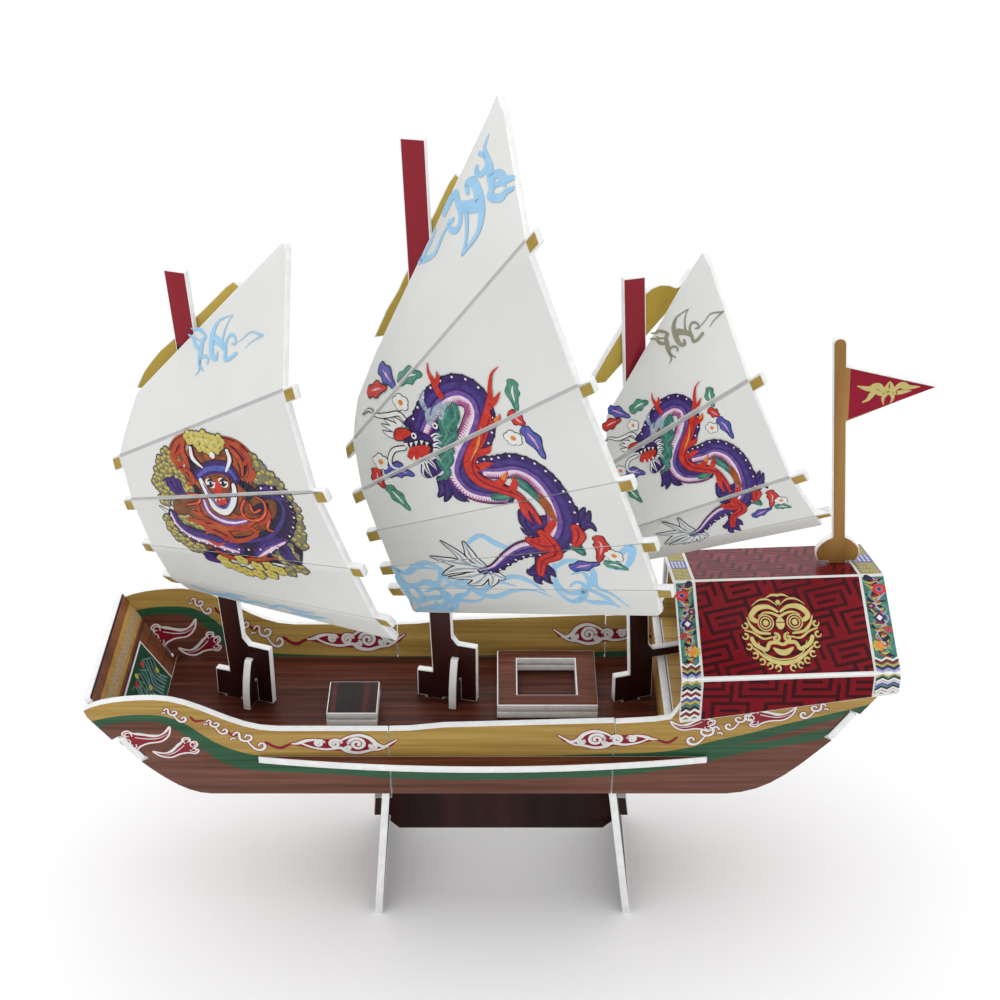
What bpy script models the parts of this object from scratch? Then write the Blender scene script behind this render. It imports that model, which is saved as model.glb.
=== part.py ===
# A slot-together foam board model of a three-masted junk on its own stand.
# Every piece is a die-cut board, so each one is an outline given a thickness.
# Metres. +X is the bow, +Y is port, +Z is up, and the floor is z = 0.

import math

import bmesh
import bpy
from mathutils import Matrix, Vector

# Boards
BOARD = 0.003                # thickness of the foam board
GAP = 0.0003                 # play between boards that touch
SLOT_PLAY = 0.0006           # play round a tab in its slot
CENTRE_SHIFT = (0.00384, -0.00866)  # moves the model so that its box is centred in plan

# Hull: two flared sides, measured on their outer faces
FLARE = math.radians(7.5)
SIDE_HALF_WIDTH = 0.0366     # outer face of a side at SIDE_HEIGHT
SIDE_HEIGHT = 0.098
KEEL_HEIGHT = 0.0645         # lower edge of the sides
SHEER_HEIGHT = 0.0992        # upper edge of the sides forward of midship
SEAM_FORE = 0.0414           # joint between the bow and middle boards
SEAM_AFT = -0.0449           # joint between the middle and stern boards

DECK_TOP = 0.085
POOP_TOP = 0.1033
BULKHEAD_FRONT = -0.064
BACK_WALL_FRONT = -0.1255

# Slanted end boards: a point of the outer face (x, z), and the angle of the face
BOW_FACE = (0.1455, 0.095)
BOW_ANGLE = math.radians(58)
STERN_FACE = (-0.1285, 0.0945)
STERN_ANGLE = math.radians(60)

# Cabin roof, a gable with upright flaps, that rises a little towards the stern
ROOF_FRONT = -0.0685
ROOF_REAR = -0.149
RIDGE_HEIGHT = 0.1434
EAVE_HEIGHT = 0.129
EAVE_HALF_WIDTH = 0.0445
FLAP_FRONT = 0.109
FLAP_REAR = 0.1225
ROOF_RISE = 0.0033

# Stand
STAND_HALF_WIDTH = 0.031
STAND_TOP = KEEL_HEIGHT - GAP
STAND_FORE = (0.0487, 0.0437)    # x of the board's middle at the floor and at the top
STAND_AFT = (-0.0532, -0.0454)
STRETCHER_BOTTOM = 0.020
STRETCHER_TAB = (0.027, 0.037)   # lower and upper edge of the tabs through the stand

# Masts: x, y, yaw in degrees, height of the top, lean of the top, width
MASTS = {
    "fore": (0.1019, -0.004, 18, 0.2705, 0.0125, 0.0086),
    "main": (0.0208, -0.004, 12, 0.3202, 0.0078, 0.0090),
    "aft": (-0.0572, -0.004, -16, 0.2708, 0.0098, 0.0084),
}
MAST_FOOT = DECK_TOP + GAP
FOOT_LOW = (0.0112, 0.0978)      # reach towards the bow and height of the low foot
FOOT_HIGH = (0.0134, 0.1118)     # reach towards the stern and height of the high foot
ARM_UNDERSIDE = POOP_TOP + 0.0009
BRACE_PLACE = -0.0048            # where the cross brace stands along the mast board
BRACE_SLOT_TOP = 0.096
BRACE_TOP = 0.1066
BRACE_REACH = 0.0085

# Sails are boards folded at creases, drawn flat as (along, up) from the bow end of the
# first crease. Each has that point's place, the turn and tilt in degrees of the panel
# below it, and the fold at each crease. The head above the first crease folds back, and
# the panels below it fold under. A tab stands past both ends of every crease.
SAILS = {
    "fore": {
        "place": (0.1400, 0.0004, 0.1998),
        "turn": 34.5,
        "tilt": -5.9,
        "folds": (26, 19, 11.5, 8.5),
        "creases": (
            ((0, 0), (-0.0784, 0.0488)),
            ((-0.0054, -0.0168), (-0.0919, 0.0144)),
            ((-0.0081, -0.0387), (-0.1008, -0.0187)),
            ((-0.0089, -0.0602), (-0.1028, -0.0500)),
        ),
        "luff": ((0.0006, 0.0094), (0.0003, 0.0239)),
        "tip": ((-0.0443, 0.0807), (-0.0555, 0.0946), (-0.0577, 0.0955), (-0.0591, 0.0935)),
        "foot": ((-0.0142, -0.0689), (-0.1062, -0.0676)),
        "tab": (0.0048, 0.0054, 0.0055),
    },
    "main": {
        "place": (0.0526, 0.0070, 0.2107),
        "turn": 35.3,
        "tilt": -3.6,
        "folds": (30, 17, 6, 4.5, 4.5),
        "creases": (
            ((0, 0), (-0.0711, 0.0932)),
            ((-0.0042, -0.0196), (-0.0947, 0.0484)),
            ((-0.0080, -0.0388), (-0.1068, 0.0111)),
            ((-0.0105, -0.0577), (-0.1132, -0.0173)),
            ((-0.0115, -0.0713), (-0.1169, -0.0425)),
        ),
        "luff": ((0.0020, 0.0061), (0.0038, 0.0140), (-0.0003, 0.0329)),
        "tip": ((-0.0316, 0.1257), (-0.0333, 0.1330), (-0.0341, 0.1338), (-0.0398, 0.1291)),
        "foot": ((-0.0130, -0.0790), (-0.0130, -0.0866), (-0.0142, -0.0880), (-0.1155, -0.0603),
                 (-0.1173, -0.0575)),
        "tab": (0.0062, 0.0060, 0.0055),
    },
    "aft": {
        "place": (-0.0410, 0.0133, 0.2033),
        "turn": 22.0,
        "tilt": -6.0,
        "folds": (22, 30, 25),
        "creases": (
            ((0, 0), (-0.0474, 0.0415)),
            ((-0.0079, -0.0257), (-0.0658, 0.0083)),
            ((-0.0121, -0.0382), (-0.0761, -0.0128)),
        ),
        "luff": ((0.0035, 0.0079), (0.0054, 0.0164)),
        "tip": ((-0.0169, 0.0740), (-0.0200, 0.0810), (-0.0208, 0.0812), (-0.0242, 0.0771)),
        "foot": ((-0.0150, -0.0520), (-0.0800, -0.0265)),
        "tab": (0.0050, 0.0056, 0.0050),
    },
}

# Yards stand behind their masts: the outer edge as (along, height) from the mast
YARDS = {
    "fore": ((0.0349, 0.2187), (0.0312, 0.2259), (0.0278, 0.2306), (0.0232, 0.2362), (0.0179, 0.2412),
             (0.0085, 0.2508), (0.0011, 0.2587), (-0.0053, 0.2654), (-0.0087, 0.2682), (-0.0105, 0.2669)),
    "main": ((0.0250, 0.2420), (0.0200, 0.2537), (0.0154, 0.2620), (0.0137, 0.2660), (0.0098, 0.2745),
             (0.0015, 0.2925), (-0.0007, 0.2975), (-0.0037, 0.3040), (-0.0062, 0.3078), (-0.0074, 0.3068)),
    "aft": ((0.0240, 0.2290), (0.0225, 0.2320), (0.0182, 0.2399), (0.0126, 0.2494), (0.0043, 0.2626),
            (0.0018, 0.2645), (-0.0015, 0.2654), (-0.0050, 0.2648), (-0.0073, 0.2636), (-0.0088, 0.2639),
            (-0.0103, 0.2657), (-0.0127, 0.2698)),
}
YARD_DEPTH = 0.009

# Deck hatches, two boards deep: x range and y range, then the opening of the larger one
HATCH_SMALL = ((0.0472, 0.0672), (-0.0051, 0.0159))
HATCH_LARGE = ((-0.0400, 0.0000), (-0.0265, 0.0108))
HATCH_HOLE = ((-0.0318, -0.0082), (-0.0208, 0.0036))

# Rub rails
RAIL_ENDS = (-0.081, 0.092)
RAIL_SAGITTA = 0.006
RAIL_TOP = 0.086

# Flagpole and pennant, one board on the far slope of the roof
POLE_PLANE = -0.0175             # y of the board's port face
POLE_FOOT = (-0.1414, -0.1267)   # x range of the base where it rests on the roof
POLE_BASE = 0.1411               # height of the base's lower edge
POLE_NECK = (-0.13395, 0.1525)   # middle of the pole where its base ends
POLE_TOP = (-0.1262, 0.2388)
POLE_WIDTH = 0.0052
POLE_TENON = (-0.1378, -0.1306)
PENNANT_EDGE = (0.2037, 0.2271)
PENNANT_TIP = (-0.1643, 0.2186)

UP = Vector((0, 0, 1))
BOW = Vector((1, 0, 0))
PORT = Vector((0, 1, 0))

COLOURS = {
    "printed_wood": (0.42, 0.20, 0.09, 0.55),
    "printed_gold": (0.45, 0.31, 0.09, 0.5),
    "printed_rosewood": (0.07, 0.02, 0.02, 0.5),
    "printed_crimson": (0.35, 0.02, 0.03, 0.5),
    "printed_white": (0.82, 0.83, 0.82, 0.5),
    "deck_wood": (0.28, 0.08, 0.04, 0.5),
}


def finish(name):
    material = bpy.data.materials.get(name)
    if material is None:
        red, green, blue, roughness = COLOURS[name]
        material = bpy.data.materials.new(name)
        material.use_nodes = True
        shader = material.node_tree.nodes["Principled BSDF"]
        shader.inputs["Base Color"].default_value = (red, green, blue, 1)
        shader.inputs["Roughness"].default_value = roughness
        shader.inputs["Metallic"].default_value = 0
    return material


def curve(start, pull_start, pull_end, end, steps=8):
    # points of a smooth curve, from start to end, both included
    points = []
    for i in range(steps + 1):
        t = i / steps
        s = 1 - t
        weights = (s * s * s, 3 * s * s * t, 3 * s * t * t, t * t * t)
        rows = zip(weights, (start, pull_start, pull_end, end))
        parts = [(w * p[0], w * p[1]) for w, p in rows]
        points.append((sum(p[0] for p in parts), sum(p[1] for p in parts)))
    return points


def add_object(name, bm, material):
    bmesh.ops.remove_doubles(bm, verts=bm.verts, dist=1e-6)
    bmesh.ops.recalc_face_normals(bm, faces=bm.faces)
    mesh = bpy.data.meshes.new(name)
    bm.to_mesh(mesh)
    bm.free()
    mesh.materials.append(finish(material))
    obj = bpy.data.objects.new(name, mesh)
    obj.location.x, obj.location.y = CENTRE_SHIFT
    bpy.context.scene.collection.objects.link(obj)
    return obj


def sheet_to_board(name, faces, direction, thickness, material):
    # faces are lists of points on the front of the board; the board lies behind them
    bm = bmesh.new()
    known = {}
    for points in faces:
        corners = []
        for point in points:
            key = tuple(round(value, 7) for value in point)
            if key not in known:
                known[key] = bm.verts.new(point)
            corners.append(known[key])
        bm.faces.new(corners)
    grown = bmesh.ops.extrude_face_region(bm, geom=bm.faces[:])
    moved = [item for item in grown["geom"] if isinstance(item, bmesh.types.BMVert)]
    bmesh.ops.translate(bm, verts=moved, vec=direction * -thickness)
    return add_object(name, bm, material)


def board(name, outline, origin, along, across, facing, material, thickness=BOARD):
    # a flat board; the outline's (a, b) lies at origin + a * along + b * across
    points = [origin + along * a + across * b for a, b in outline]
    return sheet_to_board(name, [points], facing, thickness, material)


def cut(target, name, low, high, turn=0.0, centre=(0.0, 0.0)):
    # cuts a box, given by two corners and turned about a centre in plan, out of a board
    corners = []
    for z in (low[2], high[2]):
        for x, y in ((low[0], low[1]), (high[0], low[1]), (high[0], high[1]), (low[0], high[1])):
            turned_x = centre[0] + x * math.cos(turn) + y * math.sin(turn)
            turned_y = centre[1] - x * math.sin(turn) + y * math.cos(turn)
            corners.append(Vector((turned_x, turned_y, z)))
    bm = bmesh.new()
    verts = [bm.verts.new(point) for point in corners]
    sides = [(i, (i + 1) % 4, (i + 1) % 4 + 4, i + 4) for i in range(4)]
    for loop in [(3, 2, 1, 0), (4, 5, 6, 7)] + sides:
        bm.faces.new([verts[i] for i in loop])
    cutter = add_object(name, bm, "printed_white")
    cutter.hide_render = True
    cutter.display_type = "WIRE"
    modifier = target.modifiers.new(name, "BOOLEAN")
    modifier.operation = "DIFFERENCE"
    modifier.solver = "EXACT"
    modifier.object = cutter


def outer_y(z):
    return SIDE_HALF_WIDTH + math.tan(FLARE) * (z - SIDE_HEIGHT)


def inner_y(z):
    return outer_y(z) - BOARD / math.cos(FLARE)


def roof_height(x, y):
    # height of the roof's underside
    slope = (RIDGE_HEIGHT - EAVE_HEIGHT) / EAVE_HALF_WIDTH
    rise = ROOF_RISE * (ROOF_FRONT - x) / (ROOF_FRONT - ROOF_REAR)
    return RIDGE_HEIGHT + rise - slope * abs(y) - BOARD * math.hypot(1, slope)


# Sides of the hull, as outlines in (x, height)

TAB_HEIGHTS = (0.0832, 0.0948)       # the bow transom's tabs
STERN_TAB_HEIGHTS = (0.0948, 0.1078)


def notch(face, angle, sign, heights, top_out):
    # the opening in a side's end for the tab of a slanted board, from top to bottom
    outwards = (sign * math.sin(angle), -math.cos(angle))
    corners = []
    high, low = heights[1] + SLOT_PLAY, heights[0] - SLOT_PLAY
    for z, out in ((high, top_out), (high, -BOARD - SLOT_PLAY), (low, -BOARD - SLOT_PLAY), (low, 0.0)):
        x = face[0] + sign * (z - face[1]) / math.tan(angle)
        corners.append((x + outwards[0] * out, z + outwards[1] * out))
    return corners


def bow_side_outline():
    seam = SEAM_FORE + GAP / 2
    sheer = curve((0.084, SHEER_HEIGHT), (0.102, SHEER_HEIGHT), (0.113, 0.1156), (0.1296, 0.1156))
    prow = curve((0.1296, 0.1156), (0.140, 0.1156), (0.1515, 0.1138), (0.1564, 0.1098), 6)
    chine = curve((0.1347, 0.0790), (0.1290, 0.0728), (0.1210, KEEL_HEIGHT), (0.1120, KEEL_HEIGHT), 6)
    slot = notch(BOW_FACE, BOW_ANGLE, 1, TAB_HEIGHTS, 0.0022)
    start = [(seam, KEEL_HEIGHT), (seam, SHEER_HEIGHT)]
    return start + sheer + prow[1:] + [(0.1554, 0.1062)] + slot + chine


def middle_side_outline():
    fore = SEAM_FORE - GAP / 2
    aft = SEAM_AFT + GAP / 2
    return [
        (fore, KEEL_HEIGHT),
        (aft, KEEL_HEIGHT),
        (aft, 0.1036),
        (0.0200, 0.1012),
        (0.0330, 0.0995),
        (fore, SHEER_HEIGHT),
    ]


def stern_side_outline():
    seam = SEAM_AFT - GAP / 2
    wall_rear = -0.1385
    chine = curve((-0.0900, KEEL_HEIGHT), (-0.1030, 0.0655), (-0.1105, 0.0715), (-0.1242, 0.0890), 6)
    slot = notch(STERN_FACE, STERN_ANGLE, -1, STERN_TAB_HEIGHTS, 0.0010)
    wall = [
        (-0.1429, 0.1172),
        (-0.1415, 0.1190),
        (wall_rear, roof_height(wall_rear, outer_y(0.129)) - GAP),
        (-0.0700, roof_height(-0.0700, outer_y(0.126)) - GAP),
        (-0.0695, 0.1125),
        (-0.0660, 0.1056),
        (-0.0600, 0.1043),
    ]
    return [(seam, KEEL_HEIGHT)] + chine + slot[::-1] + wall + [(seam, 0.1031)]


def build_sides():
    outlines = {
        "bow": bow_side_outline(),
        "middle": middle_side_outline(),
        "stern": stern_side_outline(),
    }
    for side, sign in (("port", 1), ("starboard", -1)):
        origin = Vector((0, sign * SIDE_HALF_WIDTH, SIDE_HEIGHT))
        across = Vector((0, sign * math.sin(FLARE), math.cos(FLARE)))
        facing = Vector((0, sign * math.cos(FLARE), -math.sin(FLARE)))
        for part, outline in outlines.items():
            flat = [(x, (z - SIDE_HEIGHT) / math.cos(FLARE)) for x, z in outline]
            board(f"side_{side}_{part}", flat, origin, BOW, across, facing, "printed_wood")


def level_board(name, x_range, top, material):
    # a level board that fills the hull from side to side
    half = inner_y(top - BOARD) - GAP
    outline = [(x_range[0], -half), (x_range[1], -half), (x_range[1], half), (x_range[0], half)]
    return board(name, outline, UP * top, BOW, PORT, UP, material)


def end_board(name, face, angle, sign, heights, tabs, material):
    # a slanted board across the hull; sign is +1 at the bow and -1 at the stern
    rise = Vector((sign * math.cos(angle), 0, math.sin(angle)))
    facing = Vector((sign * math.sin(angle), 0, -math.cos(angle)))
    origin = Vector((face[0], 0, face[1]))
    reach = BOARD * math.cos(angle)

    def edge(z, y):
        return (y, (z - face[1]) / math.sin(angle))

    low, high = heights
    right = [edge(low, inner_y(low) - GAP)]
    if tabs:
        for z, y in ((tabs[0], inner_y(tabs[0])), (tabs[0], outer_y(tabs[0])), (tabs[1], outer_y(tabs[1])),
                     (tabs[1], inner_y(tabs[1]))):
            inside = y < outer_y(z) - BOARD / 2
            right.append(edge(z, y - GAP if inside else y + GAP))
    right.append(edge(high, inner_y(high) - GAP))
    left = [(-y, v) for y, v in reversed(right)]
    made = board(name, right + left, origin, PORT, rise, facing, material)
    return made, reach


def build_hull_inside():
    deck = level_board("deck", (-0.0750, 0.1334), DECK_TOP, "deck_wood")
    level_board("hull_bottom", (-0.0980, 0.1100), KEEL_HEIGHT + GAP + BOARD, "printed_wood")
    level_board("poop_deck", (-0.1278, BULKHEAD_FRONT - BOARD - GAP), POOP_TOP, "printed_gold")
    end_board("bow_transom", BOW_FACE, BOW_ANGLE, 1, (0.0822, 0.1128), TAB_HEIGHTS, "printed_wood")
    end_board("stern_transom", STERN_FACE, STERN_ANGLE, -1, (0.0868, 0.1166), STERN_TAB_HEIGHTS, "printed_wood")
    end_board("bow_bottom", (0.1140, 0.0665), math.radians(36), 1, (0.0658, 0.0795), None, "printed_wood")
    end_board("stern_bottom", (-0.1030, 0.0680), math.radians(43), -1, (0.0665, 0.0840), None, "printed_wood")
    return deck


def cross_wall(name, front, outline, material):
    origin = Vector((front, 0, 0))
    return board(name, outline, origin, PORT, UP, BOW, material)


def build_cabin():
    foot = DECK_TOP + GAP
    top = POOP_TOP + GAP
    low, high = inner_y(foot) - GAP, inner_y(top) - GAP
    outline = [(-low, foot), (low, foot), (high, top), (-high, top)]
    cross_wall("bulkhead", BULKHEAD_FRONT, outline, "printed_gold")

    floor = POOP_TOP + GAP
    shoulder = roof_height(BACK_WALL_FRONT, inner_y(0.130)) - 2 * GAP
    peak = roof_height(BACK_WALL_FRONT, 0) - 2 * GAP
    low, high = inner_y(floor) - GAP, inner_y(shoulder) - GAP
    outline = [(-low, floor), (low, floor), (high, shoulder), (0, peak), (-high, shoulder)]
    cross_wall("cabin_back_wall", BACK_WALL_FRONT, outline, "printed_crimson")

    slope = math.atan2(RIDGE_HEIGHT - EAVE_HEIGHT, EAVE_HALF_WIDTH)
    inside = EAVE_HALF_WIDTH - BOARD
    lift = BOARD / math.cos(slope)
    inner_eave = RIDGE_HEIGHT - lift - math.tan(slope) * inside
    rings = []
    for x, rise, flap in ((ROOF_FRONT, 0, FLAP_FRONT), (ROOF_REAR, ROOF_RISE, FLAP_REAR)):
        right = [(inside, flap), (EAVE_HALF_WIDTH, flap), (EAVE_HALF_WIDTH, EAVE_HEIGHT + rise)]
        right.append((0, RIDGE_HEIGHT + rise))
        left = [(-y, z) for y, z in reversed(right[:-1])]
        under = [(-inside, inner_eave + rise), (0, RIDGE_HEIGHT - lift + rise), (inside, inner_eave + rise)]
        rings.append([Vector((x, y, z)) for y, z in right + left + under])
    bm = bmesh.new()
    loops = [[bm.verts.new(point) for point in ring] for ring in rings]
    count = len(loops[0])
    for i in range(count):
        j = (i + 1) % count
        bm.faces.new((loops[0][i], loops[0][j], loops[1][j], loops[1][i]))
    # each end is closed by a quadrilateral for each of the four panels
    panels = [(0, 1, 2, 9), (9, 2, 3, 8), (8, 3, 4, 7), (7, 4, 5, 6)]
    for loop in loops:
        for panel in panels:
            bm.faces.new([loop[i] for i in panel])
    roof = add_object("cabin_roof", bm, "printed_crimson")
    low = (POLE_TENON[0] - GAP, POLE_PLANE - BOARD - GAP, 0.130)
    high = (POLE_TENON[1] + GAP, POLE_PLANE + GAP, 0.160)
    cut(roof, "cut_pole_slot", low, high)


def build_stand():
    # the boards are cut level at the floor and at the hull, so their section is slanted
    shape = {"stand_fore": STAND_FORE, "stand_aft": STAND_AFT}
    half = BOARD / 2
    boards = []
    for name, (at_floor, at_top) in shape.items():
        outline = [
            (at_floor - half, 0),
            (at_floor + half, 0),
            (at_top + half, STAND_TOP),
            (at_top - half, STAND_TOP),
        ]
        origin = PORT * STAND_HALF_WIDTH
        made = board(name, outline, origin, BOW, UP, PORT, "printed_rosewood", 2 * STAND_HALF_WIDTH)
        boards.append(made)

    def face(shape_row, z, side):
        at_floor, at_top = shape_row
        return at_floor + (at_top - at_floor) * z / STAND_TOP + side * (half + GAP)

    low, high = STRETCHER_TAB
    top = STAND_TOP + GAP
    reach = 0.0032
    corner = 0.004
    fore = [(face(STAND_FORE, high, -1), high), (face(STAND_FORE, high, 1) + reach, high),
            (face(STAND_FORE, low, 1) + reach, low), (face(STAND_FORE, low, -1), low)]
    aft = [(face(STAND_AFT, low, 1), low), (face(STAND_AFT, low, -1) - reach, low),
           (face(STAND_AFT, high, -1) - reach, high), (face(STAND_AFT, high, 1), high)]
    fore_x = face(STAND_FORE, STRETCHER_BOTTOM + corner, -1)
    aft_x = face(STAND_AFT, STRETCHER_BOTTOM + corner, 1)
    outline = [(face(STAND_FORE, top, -1), top)] + fore
    outline += [(fore_x, STRETCHER_BOTTOM + corner), (fore_x - corner, STRETCHER_BOTTOM)]
    outline += [(aft_x + corner, STRETCHER_BOTTOM), (aft_x, STRETCHER_BOTTOM + corner)]
    outline += aft + [(face(STAND_AFT, top, 1), top)]
    board("stand_stretcher", outline, PORT * half, BOW, UP, PORT, "printed_rosewood")
    slot = (half + GAP, low - GAP, high + GAP)
    for target, x in zip(boards, (STAND_FORE[0], STAND_AFT[0])):
        near, far = x - 0.012, x + 0.012
        cut(target, f"cut_{target.name}", (near, -slot[0], slot[1]), (far, slot[0], slot[2]))


def mast_frame(name):
    x, y, yaw = MASTS[name][:3]
    turn = math.radians(yaw)
    facing = Vector((math.sin(turn), math.cos(turn), 0))
    along = Vector((math.cos(turn), -math.sin(turn), 0))
    return Vector((x, y, 0)), along, facing


def build_mast(name, deck):
    top, lean, width = MASTS[name][3:]
    origin, along, facing = mast_frame(name)
    half = width / 2

    def middle(z):
        return lean * (z - MAST_FOOT) / (top - MAST_FOOT)

    low_reach, low_top = FOOT_LOW
    high_reach, high_top = FOOT_HIGH
    tenon = (0.0005, 0.0075, DECK_TOP - BOARD - 0.0005)
    outline = [
        (middle(top) - half, top),
        (middle(top) + half, top),
        (middle(low_top) + half, low_top),
        (low_reach, low_top),
        (low_reach, MAST_FOOT),
        (tenon[1], MAST_FOOT),
        (tenon[1], tenon[2]),
        (tenon[0], tenon[2]),
        (tenon[0], MAST_FOOT),
    ]
    if name == "aft":
        outline += [
            (-half - 0.0008, MAST_FOOT),
            (-half - 0.0008, ARM_UNDERSIDE),
            (-high_reach - 0.0030, ARM_UNDERSIDE),
            (-high_reach - 0.0030, ARM_UNDERSIDE + 0.0042),
            (middle(0.112) - half - 0.0020, ARM_UNDERSIDE + 0.0045),
            (middle(0.112) - half, ARM_UNDERSIDE + 0.0070),
        ]
    else:
        slot = BOARD / 2 + GAP
        outline += [
            (BRACE_PLACE + slot, MAST_FOOT),
            (BRACE_PLACE + slot, BRACE_SLOT_TOP),
            (BRACE_PLACE - slot, BRACE_SLOT_TOP),
            (BRACE_PLACE - slot, MAST_FOOT),
            (-high_reach, MAST_FOOT),
            (-high_reach, high_top),
            (middle(0.114) - half - 0.0022, high_top + 0.0004),
            (middle(0.116) - half, high_top + 0.0035),
        ]
        build_brace(name, origin, along, facing)
    board(f"mast_{name}", outline, origin + facing * BOARD / 2, along, UP, facing, "printed_rosewood")
    yaw = math.radians(MASTS[name][2])
    play = BOARD / 2 + GAP
    low = (tenon[0] - GAP, -play, DECK_TOP - 2 * BOARD)
    high = (tenon[1] + GAP, play, DECK_TOP + BOARD)
    cut(deck, f"cut_tenon_{name}", low, high, yaw, (origin.x, origin.y))


def build_brace(name, origin, along, facing):
    slot = BOARD / 2 + GAP
    horn = 0.0042
    rise = curve((BRACE_REACH, MAST_FOOT), (0.0088, 0.0950), (0.0070, 0.1010), (horn, BRACE_TOP), 6)
    front = rise + [(slot, BRACE_TOP), (slot, BRACE_SLOT_TOP - GAP)]
    back = [(-w, z) for w, z in reversed(front)]
    place = origin + along * (BRACE_PLACE + BOARD / 2)
    board(f"mast_brace_{name}", front + back, place, facing, UP, along, "printed_rosewood")


def turned(vector, axis, angle):
    return Matrix.Rotation(angle, 3, axis) @ vector


def panel_frames(row):
    # each panel's origin, along, up and facing, with the head as panel 0
    turn = math.radians(row["turn"])
    tilt = math.radians(row["tilt"])
    facing = Vector((math.sin(turn) * math.cos(tilt), math.cos(turn) * math.cos(tilt), -math.sin(tilt)))
    along = UP.cross(facing).normalized()
    if along.x < 0:
        along.negate()
    up = facing.cross(along)
    if up.z < 0:
        up.negate()
    first = (Vector(row["place"]), along, up, facing)
    folds = [math.radians(value) for value in row["folds"]]
    frames = [folded(first, row["creases"][0], -folds[0]), first]
    for crease, fold in zip(row["creases"][1:], folds[1:]):
        frames.append(folded(frames[-1], crease, fold))
    return frames


def folded(frame, crease, angle):
    # the frame of the panel on the other side of a crease
    origin, along, up, facing = frame
    bow_end, stern_end = [origin + along * a + up * b for a, b in crease]
    axis = (stern_end - bow_end).normalized()
    moved = bow_end + turned(origin - bow_end, axis, angle)
    return (moved, turned(along, axis, angle), turned(up, axis, angle), turned(facing, axis, angle))


def tab_corners(end, outwards, edge, reach, height):
    # a tab from the end of a crease: two outer corners and its root on the panel's edge
    end, outwards, edge = Vector(end), Vector(outwards).normalized(), Vector(edge).normalized()
    top = end + outwards * reach
    return [tuple(top), tuple(top + edge * height), tuple(end + edge * height)]


def panel_outlines(row):
    creases = row["creases"]
    bow_reach, stern_reach, height = row["tab"]
    outlines = [[creases[0][0], *row["luff"], *row["tip"], creases[0][1]]]
    for number, (bow_end, stern_end) in enumerate(creases):
        if number + 1 < len(creases):
            low_bow, low_stern = creases[number + 1]
            below = [low_stern, low_bow]
        else:
            below = list(reversed(row["foot"]))
            low_bow, low_stern = row["foot"][0], row["foot"][-1]
        run = Vector(bow_end) - Vector(stern_end)
        bow_tab = tab_corners(bow_end, run, Vector(low_bow) - Vector(bow_end), bow_reach, height)
        stern_tab = tab_corners(stern_end, -run, Vector(low_stern) - Vector(stern_end), stern_reach, height)
        outlines.append([bow_end, stern_end, *stern_tab, *below, *reversed(bow_tab)])
    return outlines


def build_sail(name):
    row = SAILS[name]
    frames = panel_frames(row)
    outlines = panel_outlines(row)
    front = {}
    facings = {}
    for (origin, along, up, facing), outline in zip(frames, outlines):
        for flat in outline:
            front[flat] = origin + along * flat[0] + up * flat[1]
            facings.setdefault(flat, []).append(facing)
    bm = bmesh.new()
    near = {}
    far = {}
    for flat, point in front.items():
        facing = facings[flat][0]
        if len(facings[flat]) == 2:
            # on a crease, the board keeps its thickness in both panels
            other = facings[flat][1]
            facing = (facing + other) / (1 + facing.dot(other))
        near[flat] = bm.verts.new(point)
        far[flat] = bm.verts.new(point - facing * BOARD)
    edges = {}
    for outline in outlines:
        bm.faces.new([near[flat] for flat in outline])
        bm.faces.new([far[flat] for flat in reversed(outline)])
        for start, end in zip(outline, outline[1:] + outline[:1]):
            key = frozenset((start, end))
            edges[key] = None if key in edges else (start, end)
    for pair in edges.values():
        if pair:
            start, end = pair
            bm.faces.new((near[end], near[start], far[start]))
            bm.faces.new((near[end], far[start], far[end]))
    add_object(f"sail_{name}", bm, "printed_white")


def build_yard(name):
    origin, along, facing = mast_frame(name)
    arc = YARDS[name]
    start, end = Vector(arc[0]), Vector(arc[-1])
    run = (end - start).normalized()
    inwards = Vector((-abs(run.y), run.x)) * YARD_DEPTH / 2
    chord = [tuple(end + inwards - run * 0.001), tuple(start + inwards + run * 0.004)]
    place = origin - facing * (BOARD / 2 + GAP)
    board(f"yard_{name}", list(arc) + chord, place, along, UP, facing, "printed_gold")


def build_hatches():
    lower_top = DECK_TOP + GAP + BOARD
    upper_top = lower_top + GAP + BOARD
    for size, (x_range, y_range) in (("small", HATCH_SMALL), ("large", HATCH_LARGE)):
        outline = [(x_range[0], y_range[0]), (x_range[1], y_range[0]),
                   (x_range[1], y_range[1]), (x_range[0], y_range[1])]
        for layer, top in (("lower", lower_top), ("upper", upper_top)):
            made = board(f"hatch_{size}_{layer}", outline, UP * top, BOW, PORT, UP, "deck_wood")
            if size == "large":
                low = (HATCH_HOLE[0][0], HATCH_HOLE[1][0], top - 2 * BOARD)
                high = (HATCH_HOLE[0][1], HATCH_HOLE[1][1], top + BOARD)
                cut(made, f"cut_hatch_{layer}", low, high)


def build_rails():
    aft, fore = RAIL_ENDS
    inner = outer_y(RAIL_TOP) + GAP
    middle = (aft + fore) / 2
    half = (fore - aft) / 2
    radius = (half * half + RAIL_SAGITTA * RAIL_SAGITTA) / (2 * RAIL_SAGITTA)
    steps = 16
    bow_edge = []
    for i in range(steps + 1):
        x = fore - (fore - aft) * i / steps
        bulge = math.sqrt(radius * radius - (x - middle) ** 2) - (radius - RAIL_SAGITTA)
        bow_edge.append((x, inner + 0.0008 + bulge))
    outline = [(fore, inner)] + bow_edge + [(aft, inner)]
    for side, sign in (("port", 1), ("starboard", -1)):
        flat = [(x, sign * y) for x, y in outline]
        board(f"rub_rail_{side}", flat, UP * RAIL_TOP, BOW, PORT, UP, "printed_wood")


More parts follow.
